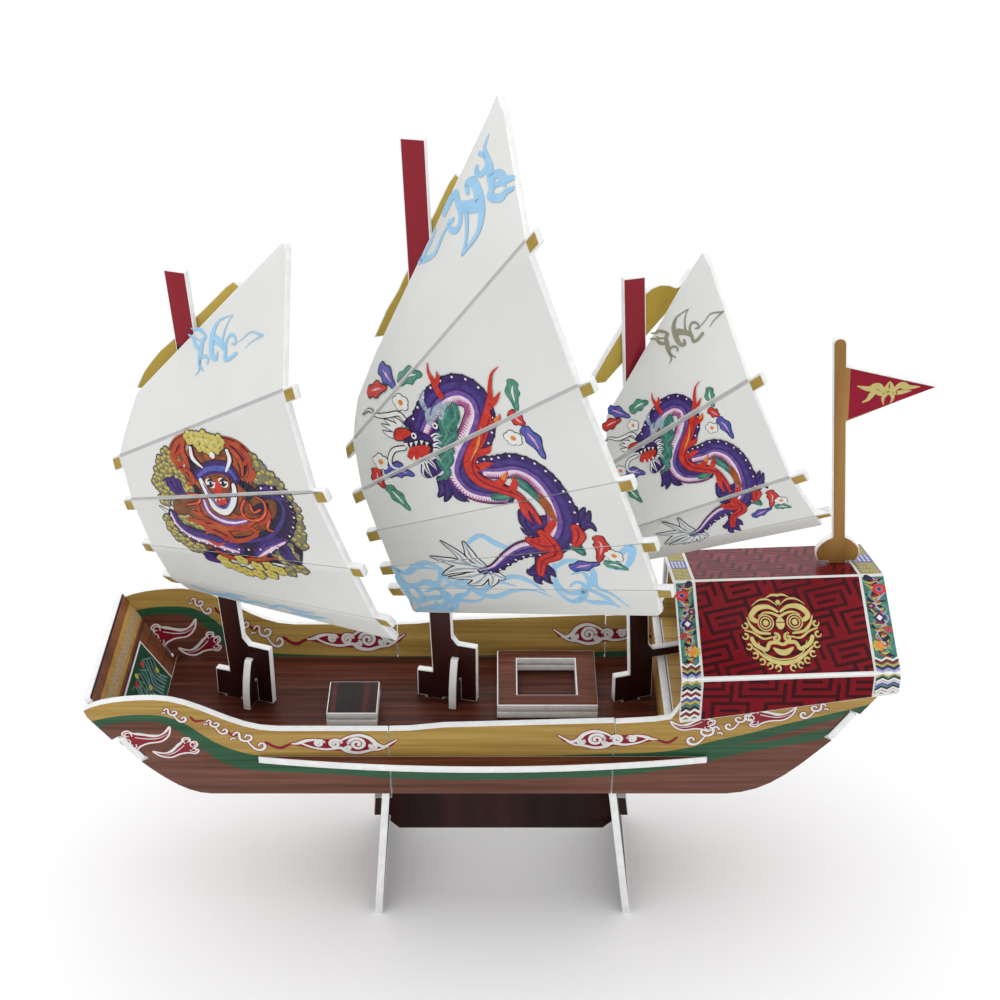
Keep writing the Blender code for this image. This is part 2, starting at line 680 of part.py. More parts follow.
def build_flag():
    neck = POLE_NECK[1]
    half = POLE_WIDTH / 2
    lean = (POLE_TOP[0] - POLE_NECK[0]) / (POLE_TOP[1] - neck)
    aft, fore = POLE_FOOT

    def edge(z, side):
        return (POLE_NECK[0] + lean * (z - neck) + side * half, z)

    def bulb(x, side):
        return curve((x, POLE_BASE), (x + side * 0.0032, POLE_BASE + 0.0045),
                     (x + side * 0.0006, neck - 0.0025), edge(neck, side), 6)

    shoulder = POLE_TOP[1] - half
    middle = edge(shoulder, 0)[0]
    angles = [math.pi * i / 6 for i in range(7)]
    cap = [(middle + half * math.cos(a), shoulder + half * math.sin(a)) for a in angles]
    low = POLE_BASE - 0.0055
    tongue = [(POLE_TENON[0], POLE_BASE), (POLE_TENON[0], low), (POLE_TENON[1], low), (POLE_TENON[1], POLE_BASE)]
    pennant = [edge(PENNANT_EDGE[1], -1), PENNANT_TIP, edge(PENNANT_EDGE[0], -1)]
    outline = tongue + bulb(fore, 1) + cap + pennant + list(reversed(bulb(aft, -1)))
    board("flagpole", outline, PORT * POLE_PLANE, BOW, UP, PORT, "printed_gold")


def clear_scene():
    for obj in list(bpy.data.objects):
        bpy.data.objects.remove(obj, do_unlink=True)


def build_junk():
    clear_scene()
    build_sides()
    deck = build_hull_inside()
    build_cabin()
    build_stand()
    for name in MASTS:
        build_mast(name, deck)
        build_sail(name)
        build_yard(name)
    build_hatches()
    build_rails()
    build_flag()


build_junk()
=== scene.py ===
import math

import bmesh
import bpy
from mathutils import Matrix, Vector


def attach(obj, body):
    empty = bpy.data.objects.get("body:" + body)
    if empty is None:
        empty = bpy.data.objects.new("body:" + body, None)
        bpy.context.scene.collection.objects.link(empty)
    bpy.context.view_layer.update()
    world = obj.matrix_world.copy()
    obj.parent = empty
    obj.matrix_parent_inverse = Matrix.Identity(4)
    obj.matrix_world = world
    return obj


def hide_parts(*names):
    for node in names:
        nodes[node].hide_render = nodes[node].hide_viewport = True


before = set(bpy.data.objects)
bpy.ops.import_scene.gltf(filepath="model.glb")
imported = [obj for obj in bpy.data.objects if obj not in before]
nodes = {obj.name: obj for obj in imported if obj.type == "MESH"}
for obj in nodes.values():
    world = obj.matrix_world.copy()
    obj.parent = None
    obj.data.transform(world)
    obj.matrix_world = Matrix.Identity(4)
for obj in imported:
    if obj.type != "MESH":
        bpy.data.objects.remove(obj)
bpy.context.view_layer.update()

up, bow, port = Vector((0, 0, 1)), Vector((1, 0, 0)), Vector((0, 1, 0))
mm = 0.001

# the whole model: where the source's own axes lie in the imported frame, and its board
model = {
    "shift": Vector((0.00384, -0.00866, 0)),
    "board": 0.003,
    "flare": math.radians(7.5),
    "sideHalfWidth": 0.0366,
    "sideHeight": 0.098,
}


def paired(numbers):
    # x and y in turn become points; a list of lists is taken line by line
    if isinstance(numbers[0], list):
        return [paired(line) for line in numbers]
    return list(zip(numbers[::2], numbers[1::2]))


# materials: every one is made of nodes on Object coordinates

def addNode(tree, kind, feeds=(), **values):
    # a node with its values set, and fed by other nodes' sockets
    node = tree.nodes.new("ShaderNode" + kind)
    for key, value in values.items():
        if hasattr(node, key):
            setattr(node, key, value)
        else:
            node.inputs[key.replace("_", " ")].default_value = value
    for socket, source in feeds:
        tree.links.new(source, node.inputs[socket])
    return node


def mapRange(tree, source, low, high, start=0.0, end=1.0, clamp=True):
    return addNode(tree, "MapRange", [("Value", source)], clamp=clamp, From_Min=low, From_Max=high,
                   To_Min=start, To_Max=end).outputs["Result"]


def stretchedNoise(tree, place, stretch, scale, detail=4.0):
    mapping = addNode(tree, "Mapping", [("Vector", place)], Scale=stretch)
    return addNode(tree, "TexNoise", [("Vector", mapping.outputs["Vector"])], Scale=scale, Detail=detail,
                   Roughness=0.6).outputs["Fac"]


def shadeBy(tree, source, tones, spread):
    # the tones from dark to light, spread about the middle of the noise's range
    ramp = addNode(tree, "ValToRGB", [("Fac", source)])
    elements = ramp.color_ramp.elements
    while len(elements) < len(tones):
        elements.new(0.5)
    for number, (element, tone) in enumerate(zip(elements, tones)):
        element.position = 0.5 + spread * (2 * number / (len(tones) - 1) - 1)
        element.color = (*tone, 1)
    return ramp.outputs["Color"]


def mixColours(tree, factor, below, above):
    return addNode(tree, "Mix", [(0, factor), (6, below), (7, above)], data_type="RGBA").outputs[2]


def makeFinish(name, roughness, base, colourOf, fineScale, bump):
    # colourOf gives the colour's socket; a fine relief lies over it all
    material = bpy.data.materials.new(name)
    material.use_nodes = True
    tree = material.node_tree
    shader = tree.nodes["Principled BSDF"]
    shader.inputs["Base Color"].default_value = (*base, 1)
    shader.inputs["Roughness"].default_value = roughness
    shader.inputs["Specular IOR Level"].default_value = 0.2
    place = addNode(tree, "TexCoord").outputs["Object"]
    tree.links.new(colourOf(tree, place), shader.inputs["Base Color"])
    if bump:
        fine = stretchedNoise(tree, place, (1, 1, 1), fineScale, 2.0)
        relief = addNode(tree, "Bump", [("Height", fine)], Strength=bump, Distance=0.0002)
        tree.links.new(relief.outputs["Normal"], shader.inputs["Normal"])
    return material


def mottled(name, dark, light, roughness, scale, bump):
    # a printed or plain paper face with slight unevenness
    def colourOf(tree, place):
        return shadeBy(tree, stretchedNoise(tree, place, (1, 1, 1), scale), (dark, light), 0.2)

    return makeFinish(name, roughness, light, colourOf, 900.0, bump)


def grained(name, tones, roughness, stretch, plank=None, seam=None):
    # printed wood: streaks along one axis, and plank seams as (axis, width)
    def colourOf(tree, place):
        colour = shadeBy(tree, stretchedNoise(tree, place, stretch, 1.0, 6.0), tones, 0.18)
        if not plank:
            return colour
        axis, width = plank
        split = addNode(tree, "SeparateXYZ", [("Vector", place)])
        wave = addNode(tree, "Math", [(0, split.outputs[axis])], operation="PINGPONG")
        wave.inputs[1].default_value = width / 2
        line = mapRange(tree, wave.outputs[0], 0.0, width * 0.06, 0.75, 0.0)
        mix = addNode(tree, "Mix", [(0, line), (6, colour)], data_type="RGBA")
        mix.inputs[7].default_value = (*seam, 1)
        return mix.outputs[2]

    return makeFinish(name, roughness, tones[1], colourOf, 700.0, 0.1)


# the painted bands of the hull sides in millimetres, as x and height in turn from the bow to the stern
hullBands = {
    "ends": (-146, 158),          # the bands' reach along the hull
    "heights": (68, 120),
    "goldEdge": [156, 103, 148.7, 106, 138.4, 107.7, 129.9, 107.7, 123.1, 105.8, 118, 102.5, 112.3, 97, 106.5, 92,
        100.5, 88.7, 92.1, 86.1, 81.8, 85.5, 58.1, 85, 2.7, 85.2, -40.9, 86.8, -60.6, 87.7, -72.3, 89.9, -81.5, 93.3,
        -95.3, 97.7, -110.4, 103.2, -125.4, 108.1, -140.2, 113.4, -144, 115.5],
    "greenEdge": [154.5, 98.5, 146.8, 102.7, 138.8, 104.2, 131.1, 104.2, 125.1, 102, 120.1, 97.6, 115.9, 92.4,
        111.7, 87.6, 107.4, 83.1, 102.1, 79.7, 95.9, 77.9, 82.4, 76.8, 58.6, 75.1, 42.7, 73.4, 2.7, 72.4, -17.4, 73.1,
        -46.1, 74.6, -65.1, 78.1, -80.7, 82.6, -96.1, 87.7, -111.5, 91.6, -123, 94.4, -129, 97.5, -144, 102],
    "wedgeTop": [150, 90, -80, 90, -89, 91.2, -107, 97.1, -122.1, 103.2, -139, 109.8, -144, 112],
    "wedgeFoot": [150, 90, -80, 90, -89, 91.2, -107.3, 94.5, -118.6, 98.4, -126.3, 100.4, -137.4, 105.3, -144, 108],
}


def aboveEdge(tree, along, height, edge):
    # 1 where the height is above the band's edge, else 0
    (sternEnd, bowEnd), (low, high) = hullBands["ends"], hullBands["heights"]
    curve = addNode(tree, "FloatCurve", [("Value", along)])
    line = curve.mapping.curves[0]
    spots = sorted(((x - sternEnd) / (bowEnd - sternEnd), (z - low) / (high - low)) for x, z in paired(edge))
    while len(line.points) < len(spots):
        line.points.new(0.5, 0.5)
    for point, spot in zip(line.points, spots):
        point.location = spot
    curve.mapping.update()
    over = addNode(tree, "Math", [(0, height), (1, curve.outputs["Value"])], operation="SUBTRACT")
    return mapRange(tree, over.outputs[0], -0.002, 0.002)


def hullPaint(name, brown, green, gold):
    # printed wood in three bands, with the grain running along the hull
    def colourOf(tree, place):
        split = addNode(tree, "SeparateXYZ", [("Vector", place)])
        sternEnd, bowEnd = [x * mm + model["shift"].x for x in hullBands["ends"]]
        low, high = [z * mm for z in hullBands["heights"]]
        along = mapRange(tree, split.outputs["X"], sternEnd, bowEnd)
        height = mapRange(tree, split.outputs["Z"], low, high, clamp=False)
        edges = {key: aboveEdge(tree, along, height, hullBands[key])
                 for key in ("goldEdge", "greenEdge", "wedgeTop", "wedgeFoot")}
        coarse = stretchedNoise(tree, place, (9, 300, 300), 1.0, 5.0)
        fine = stretchedNoise(tree, place, (20, 900, 900), 1.0)
        both = addNode(tree, "Mix", [(2, coarse), (3, fine)], data_type="FLOAT", Factor=0.45)
        looks = [shadeBy(tree, both.outputs[0], tones, 0.16) for tones in (brown, green, gold)]
        wedge = addNode(tree, "Math", [(0, edges["wedgeFoot"]), (1, edges["wedgeTop"])], operation="SUBTRACT",
                        use_clamp=True)
        colour = mixColours(tree, edges["greenEdge"], looks[0], looks[1])
        colour = mixColours(tree, wedge.outputs[0], colour, looks[0])
        return mixColours(tree, edges["goldEdge"], colour, looks[2])

    return makeFinish(name, 0.42, brown[1], colourOf, 700.0, 0.06)


def mastPaint(name, paintFoot):
    # dark rosewood with a crimson upper part
    def colourOf(tree, place):
        split = addNode(tree, "SeparateXYZ", [("Vector", place)])
        above = mapRange(tree, split.outputs["Z"], paintFoot - 0.0001, paintFoot + 0.0001)
        streaks = stretchedNoise(tree, place, alongUp, 1.0, 6.0)
        paint = shadeBy(tree, streaks, ((0.215, 0.010, 0.020), (0.265, 0.014, 0.026)), 0.2)
        return mixColours(tree, above, shadeBy(tree, streaks, rosewoodTones, 0.18), paint)

    return makeFinish(name, 0.36, (0.8, 0.8, 0.8), colourOf, 700.0, 0.06)


# finishes of the boards, as linear colours from dark to light
alongBow, alongUp = (3, 60, 60), (60, 60, 3)
rosewoodTones = ((0.008, 0.002, 0.002), (0.020, 0.005, 0.004), (0.042, 0.010, 0.008))
papers = {       # tones, roughness, scale of the mottling, relief
    "foamEdge": ((0.74, 0.75, 0.75), (0.86, 0.87, 0.87), 0.75, 240.0, 0.25),
    "sailPaper": ((0.645, 0.655, 0.635), (0.70, 0.71, 0.685), 0.42, 18.0, 0.04),
    "crimson": ((0.33, 0.012, 0.030), (0.39, 0.018, 0.040), 0.4, 60.0, 0.05),
    "roofCrimson": ((0.145, 0.005, 0.010), (0.200, 0.008, 0.014), 0.3, 40.0, 0.05),
}
woods = {        # tones, roughness, stretch of the grain, planks and their seams
    "hullWood": (((0.10, 0.028, 0.010), (0.19, 0.065, 0.025), (0.27, 0.105, 0.045)), 0.42, alongBow, ("Z", 0.0088),
                 (0.05, 0.012, 0.006)),
    "deckWood": (((0.026, 0.004, 0.003), (0.060, 0.013, 0.007), (0.120, 0.032, 0.016)), 0.45, (12, 420, 420)),
    "hatchStripes": (((0.006, 0.003, 0.004), (0.016, 0.006, 0.006), (0.075, 0.012, 0.010)), 0.42, (330, 3, 3)),
    "hatchWood": (((0.055, 0.014, 0.007), (0.110, 0.031, 0.015), (0.175, 0.058, 0.029)), 0.42, (16, 420, 420)),
    "goldWood": (((0.30, 0.15, 0.03), (0.42, 0.24, 0.06), (0.52, 0.33, 0.10)), 0.4, alongBow),
    "rosewood": (rosewoodTones, 0.45, alongUp),
    "yardGold": (((0.34, 0.23, 0.03), (0.44, 0.31, 0.05), (0.52, 0.38, 0.08)), 0.4, (20, 20, 8)),
    "poleWood": (((0.21, 0.10, 0.026), (0.32, 0.165, 0.045), (0.42, 0.235, 0.072)), 0.42, (90, 90, 4)),
    "poopWood": (((0.34, 0.19, 0.05), (0.48, 0.30, 0.09), (0.58, 0.40, 0.15)), 0.4, alongBow, ("Y", 0.0090),
                 (0.20, 0.09, 0.02)),
}
inks = {         # tones, scale of the mottling, roughness where it isn't the usual
    "inkWhite": ((0.68, 0.68, 0.66), (0.76, 0.76, 0.74), 300.0),
    "inkCrimson": ((0.20, 0.006, 0.018), (0.26, 0.010, 0.026), 200.0),
    "inkFret": ((0.036, 0.004, 0.007), (0.055, 0.007, 0.011), 60.0, 0.36),
    "inkMask": ((0.50, 0.42, 0.14), (0.60, 0.52, 0.20), 150.0, 0.38),
    "inkSky": ((0.27, 0.50, 0.72), (0.33, 0.57, 0.78), 120.0, 0.42),
    "inkOlive": ((0.16, 0.15, 0.08), (0.22, 0.20, 0.12), 200.0, 0.42),
    "inkPurple": ((0.022, 0.010, 0.072), (0.060, 0.024, 0.165), 420.0),
    "inkNight": ((0.008, 0.006, 0.020), (0.020, 0.014, 0.045), 300.0),
    "inkBlue": ((0.045, 0.055, 0.28), (0.12, 0.13, 0.46), 400.0),
    "inkRose": ((0.55, 0.22, 0.36), (0.74, 0.44, 0.56), 500.0),
    "inkRed": ((0.42, 0.016, 0.012), (0.60, 0.050, 0.030), 400.0),
    "inkOrange": ((0.60, 0.16, 0.02), (0.74, 0.28, 0.05), 400.0),
    "inkTeal": ((0.018, 0.10, 0.085), (0.06, 0.22, 0.18), 400.0),
    "inkYellow": ((0.40, 0.33, 0.05), (0.55, 0.45, 0.09), 300.0),
    "inkPale": ((0.66, 0.50, 0.62), (0.80, 0.70, 0.78), 500.0),
    "inkPlum": ((0.26, 0.045, 0.16), (0.42, 0.11, 0.28), 500.0),
    "inkSteel": ((0.20, 0.28, 0.36), (0.42, 0.50, 0.58), 400.0),
    "inkBark": ((0.10, 0.030, 0.010), (0.24, 0.075, 0.020), 260.0),
    "inkViolet": ((0.085, 0.035, 0.22), (0.20, 0.11, 0.38), 500.0),
    "inkDusk": ((0.035, 0.020, 0.14), (0.075, 0.05, 0.24), 400.0),
    "inkBlack": ((0.006, 0.006, 0.010), (0.014, 0.012, 0.022), 300.0),
    "inkLilac": ((0.30, 0.27, 0.60), (0.42, 0.38, 0.70), 300.0),
    "inkGreen": ((0.04, 0.17, 0.11), (0.12, 0.32, 0.24), 400.0),
    "inkRust": ((0.22, 0.035, 0.012), (0.42, 0.11, 0.02), 200.0),
    "inkOliveGrey": ((0.24, 0.235, 0.17), (0.31, 0.30, 0.22), 300.0),
    "inkTab": ((0.30, 0.20, 0.035), (0.40, 0.28, 0.06), 200.0),
    "inkPennant": ((0.24, 0.010, 0.030), (0.32, 0.016, 0.040), 120.0),
    "inkSilver": ((0.30, 0.29, 0.24), (0.42, 0.41, 0.35), 300.0, 0.34),
    "inkPine": ((0.006, 0.040, 0.018), (0.012, 0.065, 0.030), 60.0),
    "inkSea": ((0.10, 0.20, 0.22), (0.24, 0.36, 0.38), 300.0),
    # a grey darker than the sail paper, put into the crease grooves as painted shade
    "creaseShadeGrey": ((0.44, 0.44, 0.44), (0.50, 0.50, 0.50), 300.0, 0.6),
}
finish = {name: mottled(name, *row) for name, row in papers.items()}
finish.update((name, grained(name, *row)) for name, row in woods.items())
for name, (dark, light, scale, *roughness) in inks.items():
    finish[name] = mottled(name, dark, light, roughness[0] if roughness else 0.4, scale, 0.03)
finish["hullPaint"] = hullPaint("hullPaint", ((0.072, 0.023, 0.013), (0.132, 0.046, 0.027), (0.205, 0.078, 0.047)),
                                ((0.012, 0.055, 0.026), (0.022, 0.088, 0.040), (0.036, 0.120, 0.060)),
                                ((0.26, 0.150, 0.032), (0.37, 0.232, 0.056), (0.48, 0.32, 0.095)))
for name, paintFoot in (("mastPaint", 0.241), ("aftMastPaint", 0.228)):
    finish[name] = mastPaint(name, paintFoot)
for name in ("roofCrimson", "inkFret", "inkPennant"):       # the dullest papers
    finish[name].node_tree.nodes["Principled BSDF"].inputs["Specular IOR Level"].default_value = 0.06
print("finishes made:", len(finish))


# boards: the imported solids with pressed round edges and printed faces
cut = {
    "roundOver": 0.00042,        # die-cut edges are pressed round
    "flat": math.radians(0.6),
    "corner": math.radians(40),
    "smooth": math.radians(35),
    "squarely": 0.955,           # how far a printed face may turn from its way
}


def boardFrom(node, name, faces, roundOver=cut["roundOver"], squarely=cut["squarely"]):
    # faces are (direction, finish) of the printed sides; everything else is cut foam
    piece = bpy.data.objects.new(name, nodes[node].data.copy())
    piece.data.name = name
    bpy.context.scene.collection.objects.link(piece)
    bpy.ops.object.select_all(action="DESELECT")
    piece.select_set(True)
    bpy.context.view_layer.objects.active = piece
    bpy.ops.object.mode_set(mode="EDIT")
    bpy.ops.mesh.select_all(action="SELECT")
    bpy.ops.mesh.customdata_custom_splitnormals_clear()
    bpy.ops.mesh.remove_doubles(threshold=0.00001)
    bpy.ops.mesh.dissolve_limited(angle_limit=cut["flat"])
    bpy.ops.mesh.normals_make_consistent(inside=False)
    bpy.ops.object.mode_set(mode="OBJECT")
    bevel = piece.modifiers.new("roundOver", "BEVEL")
    bevel.width = roundOver
    bevel.segments = 2
    bevel.limit_method = "ANGLE"
    bevel.angle_limit = cut["corner"]
    bpy.ops.object.modifier_apply(modifier="roundOver")
    bpy.ops.object.shade_smooth_by_angle(angle=cut["smooth"])
    looks = ["foamEdge"]
    for direction, look in faces:
        if look not in looks:
            looks.append(look)
    piece.data.materials.clear()
    for look in looks:
        piece.data.materials.append(finish[look])
    for polygon in piece.data.polygons:
        polygon.material_index = 0
        for direction, look in faces:
            if polygon.normal.dot(direction) > squarely:
                polygon.material_index = looks.index(look)
    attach(piece, "root")
    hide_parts(node)
    return piece


def twoFaced(node, name, facing, look, other=None):
    boardFrom(node, name, ((facing, look), (-facing, other or look)))


def sideways(sign):
    # outward direction of a flared side
    return Vector((0, sign * math.cos(model["flare"]), -math.sin(model["flare"])))


def underFace(angle, sign):
    # a slanted end board's downward face
    return Vector((sign * math.sin(math.radians(angle)), 0, -math.cos(math.radians(angle))))


hullBoards = {
    "deck": ("deckBoard", up, "deckWood"),
    "hull_bottom": ("hullFloor", up, "hullWood"),
    "poop_deck": ("poopDeck", up, "poopWood"),
    "bow_transom": ("bowTransom", underFace(58, 1), "hullWood"),
    "stern_transom": ("sternTransom", underFace(60, -1), "hullWood"),
    "bow_bottom": ("bowBottom", underFace(36, 1), "hullWood"),
    "stern_bottom": ("sternBottom", underFace(43, -1), "hullWood"),
}


def makeHull():
    for side, sign in (("port", 1), ("starboard", -1)):
        outward = sideways(sign)
        for part in ("bow", "middle", "stern"):
            boardFrom(f"side_{side}_{part}", f"{side}{part.capitalize()}Side",
                      ((outward, "hullPaint"), (-outward, "hullPaint")), 0.0003, 0.6)
        twoFaced(f"rub_rail_{side}", f"{side}Rail", up, "hatchWood")
    for node, (name, facing, look) in hullBoards.items():
        twoFaced(node, name, facing, look, "hullWood")
    print("hull boards made")


roofSlope = {"rise": 0.0144, "halfWidth": 0.0445}


def makeStern():
    twoFaced("bulkhead", "cabinFront", bow, "goldWood")
    twoFaced("cabin_back_wall", "cabinBack", bow, "crimson")
    faces = []
    slope = math.atan2(roofSlope["rise"], roofSlope["halfWidth"])
    for sign in (1, -1):
        out = Vector((0, sign * math.sin(slope), math.cos(slope)))
        faces += [(out, "sailPaper"), (-out, "roofCrimson"), (port * sign, "sailPaper")]
    boardFrom("cabin_roof", "cabinRoof", faces)
    print("stern made")


def makeStand():
    twoFaced("stand_fore", "standFore", bow, "rosewood")
    twoFaced("stand_aft", "standAft", bow, "rosewood")
    twoFaced("stand_stretcher", "standKeelPlate", port, "rosewood")
    print("stand made")


mastTurns = {"fore": 18, "main": 12, "aft": -16}     # yaw in degrees


def makeMasts():
    for name, yaw in mastTurns.items():
        turn = math.radians(yaw)
        facing, along = Vector((math.sin(turn), math.cos(turn), 0)), Vector((math.cos(turn), -math.sin(turn), 0))
        twoFaced(f"mast_{name}", f"{name}Mast", facing, "aftMastPaint" if name == "aft" else "mastPaint")
        twoFaced(f"yard_{name}", f"{name}Yard", facing, "yardGold")
        if name != "aft":
            twoFaced(f"mast_brace_{name}", f"{name}MastBrace", along, "rosewood")
    print("masts made")


def makeHatches():
    for size, look in (("small", "hatchStripes"), ("large", "hatchWood")):
        for layer in ("lower", "upper"):
            boardFrom(f"hatch_{size}_{layer}", f"{size}Hatch{layer.capitalize()}", ((up, look),))
    print("hatches made")


# prints: shapes drawn flat and laid as thin ink films just above the printed faces
film = {
    "lift": 0.00005,             # the lowest film above its board
    "layer": 0.000012,           # from one ink to the next
    "step": 0.000001,            # between overlapping shapes of one ink
    "steps": 11,
    "thinnest": 0.00004,         # a band's least width, in its drawing's unit
    "roundedFrom": 0.0002,       # the width from which a band's ends are round
    "creaseGaps": (0.0009, 0.0008, 0.0002, 0.0002, 0.0002),      # half the gap in a print at each crease
    "tabMargins": ((0.0002, 0.0005), (0.0007, 0.0006)),          # in from a tab's inner top and outer foot
}


def smoothLine(points, steps=6, closed=False):
    # a smooth line through the points
    count = len(points)
    line = []
    for i in range(count if closed else count - 1):
        near = [points[j % count] if closed else points[min(max(j, 0), count - 1)] for j in (i - 1, i, i + 1, i + 2)]
        for t in [step / steps for step in range(steps)]:
            line.append(tuple(
                0.5 * (2 * b + (c - a) * t + (2 * a - 5 * b + 4 * c - d) * t * t + (3 * b - a - 3 * c + d) * t ** 3)
                for a, b, c, d in zip(*near)))
    return line if closed else line + [tuple(points[-1])]


def turned(x, y, angle, reach, squash=1.0):
    return x + reach * math.cos(angle), y + reach * squash * math.sin(angle)


def disc(x, y, radius, count=14, squash=1.0):
    return [turned(x, y, 2 * math.pi * i / count, radius, squash) for i in range(count)]


def walk(line):
    # each point with its sideways direction and its share of the line
    last = len(line) - 1
    for i, (x, y) in enumerate(line):
        (ax, ay), (bx, by) = line[max(i - 1, 0)], line[min(i + 1, last)]
        length = math.hypot(bx - ax, by - ay) or 1.0
        yield x, y, (ay - by) / length, (bx - ax) / length, i / last


def between(row, t):
    # from the row's start over its middle to its end
    start, middle, end = row
    return start + (middle - start) * 2 * t if t < 0.5 else middle + (end - middle) * (2 * t - 1)


def quads(left, right):
    return [[a, b, d, c] for a, b, c, d in zip(left, right, left[1:], right[1:])]


def ribbon(line, widths, grow=0.0):
    # a band along a line, its width given at the start, middle and end
    left, right = [], []
    for x, y, u, v, t in walk(line):
        half = (max(between(widths, t), film["thinnest"]) + grow) / 2
        left.append((x + u * half, y + v * half))
        right.append((x - u * half, y - v * half))
    faces = quads(left, right)
    for (x, y), width in ((line[0], widths[0]), (line[-1], widths[2])):
        if width + grow > film["roundedFrom"]:
            faces.append(disc(x, y, (width + grow) / 2, 8))
    return faces


def curl(x, y, radius, start, turns, tight=0.18, steps=22):
    # a spiral from its outside to its middle
    shares = [i / steps for i in range(steps + 1)]
    return [turned(x, y, start + 2 * math.pi * turns * t, radius * (1 - (1 - tight) * t)) for t in shares]


def placed(points, x, y, size, turn=0.0, flip=1):
    c, s = math.cos(turn) * size, math.sin(turn) * size
    return [(x + flip * a * c - b * s, y + flip * a * s + b * c) for a, b in points]


def layPrint(name, place, layers, slot, creases=(), clip=(), gap=(), base=0):
    # layers are (ink, shapes) from the lowest up; a shape is a closed outline
    bm = bmesh.new()
    looks = list(dict.fromkeys(look for look, shapes in layers))
    for level, (look, shapes) in enumerate(layers):
        for number, outline in enumerate(shapes):
            height = film["lift"] + (level + base) * film["layer"] + (number % film["steps"]) * film["step"]
            face = bm.faces.new([bm.verts.new((a, b, height)) for a, b in outline])
            face.material_index = looks.index(look)
            face.normal_update()
            if face.normal.z < 0:
                face.normal_flip()
    bmesh.ops.triangulate(bm, faces=[face for face in bm.faces if len(face.verts) > 4])

    def cutAlong(spot, away, **clear):
        bmesh.ops.bisect_plane(bm, geom=bm.verts[:] + bm.edges[:] + bm.faces[:], plane_co=spot, plane_no=away, **clear)

    for spot, away in clip:
        cutAlong((*spot, 0), (*away, 0), clear_outer=True)
    for (bowEnd, sternEnd), half in zip(creases, gap):
        across = Vector((bowEnd[1] - sternEnd[1], sternEnd[0] - bowEnd[0], 0)).normalized()
        spot = Vector((*bowEnd, 0))
        for away in (half, -half):
            cutAlong(spot + across * away, across)
        inside = [face for face in bm.faces if abs((face.calc_center_median() - spot).dot(across)) < half]
        bmesh.ops.delete(bm, geom=inside, context="FACES")
    zero, alongU, alongV, outward = [place(*spot) for spot in ((0, 0, 0), (mm, 0, 0), (0, mm, 0), (0, 0, mm))]
    if (alongU - zero).cross(alongV - zero).dot(outward - zero) < 0:
        bmesh.ops.reverse_faces(bm, faces=bm.faces[:])
    for vert in bm.verts:
        vert.co = place(*vert.co)
    mesh = bpy.data.meshes.new(name)
    bm.to_mesh(mesh)
    bm.free()
    for look in looks:
        mesh.materials.append(finish[look])
    piece = bpy.data.objects.new(name, mesh)
    bpy.context.scene.collection.objects.link(piece)
    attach(piece, "root")


# the hull's ornaments: clouds, curls and flourishes in white with a crimson outline
def through(*numbers):
    # a smooth line through x and y in turn
    return smoothLine(paired(numbers))


motifs = {
    "cloud": [
        (curl(0.12, -0.005, 0.085, 2.9, -1.6), (0.030, 0.026, 0.022)),
        (through(-0.03, 0.045, 0.04, 0.09, 0.14, 0.115, 0.24, 0.075, 0.3, 0, 0.37, -0.035, 0.43, 0, 0.5, 0.055),
                 (0.014, 0.040, 0.006)),
        (through(-0.4, 0, -0.3, -0.05, -0.17, -0.075, -0.04, -0.055, 0.02, -0.1, 0.13, -0.12, 0.25, -0.085,
                 0.33, -0.075, 0.41, -0.03), (0.010, 0.034, 0.012)),
        (curl(-0.09, 0.0, 0.062, 0.3, 1.5), (0.026, 0.022, 0.020)),
        (curl(-0.24, 0.005, 0.048, 0.4, 1.4), (0.024, 0.020, 0.018)),
        (curl(0.275, -0.035, 0.040, 2.6, 1.2), (0.022, 0.020, 0.016)),
        (curl(0.02, -0.055, 0.036, 1.2, -1.1), (0.020, 0.018, 0.014)),
        (through(-0.27, 0.055, -0.36, 0.04, -0.44, 0.005, -0.5, 0), (0.016, 0.034, 0.004)),
    ],
    "curl": [
        (through(-0.47, 0.14, -0.42, 0.26, -0.33, 0.24, -0.3, 0.12, -0.22, 0.02, -0.08, 0.02, 0.02, 0.12, 0, 0.24,
                 -0.12, 0.25, -0.15, 0.16), (0.030, 0.060, 0.030)),
        (through(-0.06, 0.03, 0.08, -0.1, 0.24, -0.2, 0.38, -0.18, 0.45, -0.06, 0.4, 0.06, 0.3, 0.06, 0.28, -0.04),
                 (0.030, 0.070, 0.030)),
        (through(-0.4, 0.02, -0.48, 0, -0.5, -0.08), (0.04, 0.03, 0.01)),
    ],
    "tail": [
        (through(-0.5, 0.15, -0.25, -0.05, 0, -0.12, 0.25, 0.02, 0.5, 0.14), (0.03, 0.07, 0.005)),
    ],
    "flourish": [
        (through(0.5, 0.2, 0.38, 0.08, 0.22, 0.05, 0.04, 0.1, -0.14, 0.19, -0.26, 0.2), (0.006, 0.030, 0.022)),
        (through(0.4, 0.03, 0.2, -0.03, 0, 0, -0.22, 0.09), (0.006, 0.024, 0.020)),
        (curl(-0.34, 0.18, 0.080, -0.6, 0.9, 0.35), (0.030, 0.030, 0.024)),
        (curl(-0.42, 0.03, 0.080, -0.8, 0.9, 0.35), (0.030, 0.030, 0.024)),
        (curl(-0.35, -0.11, 0.080, 0.3, -0.9, 0.35), (0.030, 0.030, 0.024)),
    ],
}
flourishShape = paired([0.5, 0.2, 0.41, 0, 0.22, -0.12, -0.02, -0.11, -0.2, -0.15, -0.33, -0.23, -0.44, -0.17,
    -0.38, -0.07, -0.49, -0.02, -0.51, 0.09, -0.4, 0.13, -0.43, 0.24, -0.31, 0.29, -0.21, 0.19, -0.04, 0.11,
    0.14, 0.03, 0.31, 0.06, 0.42, 0.14])
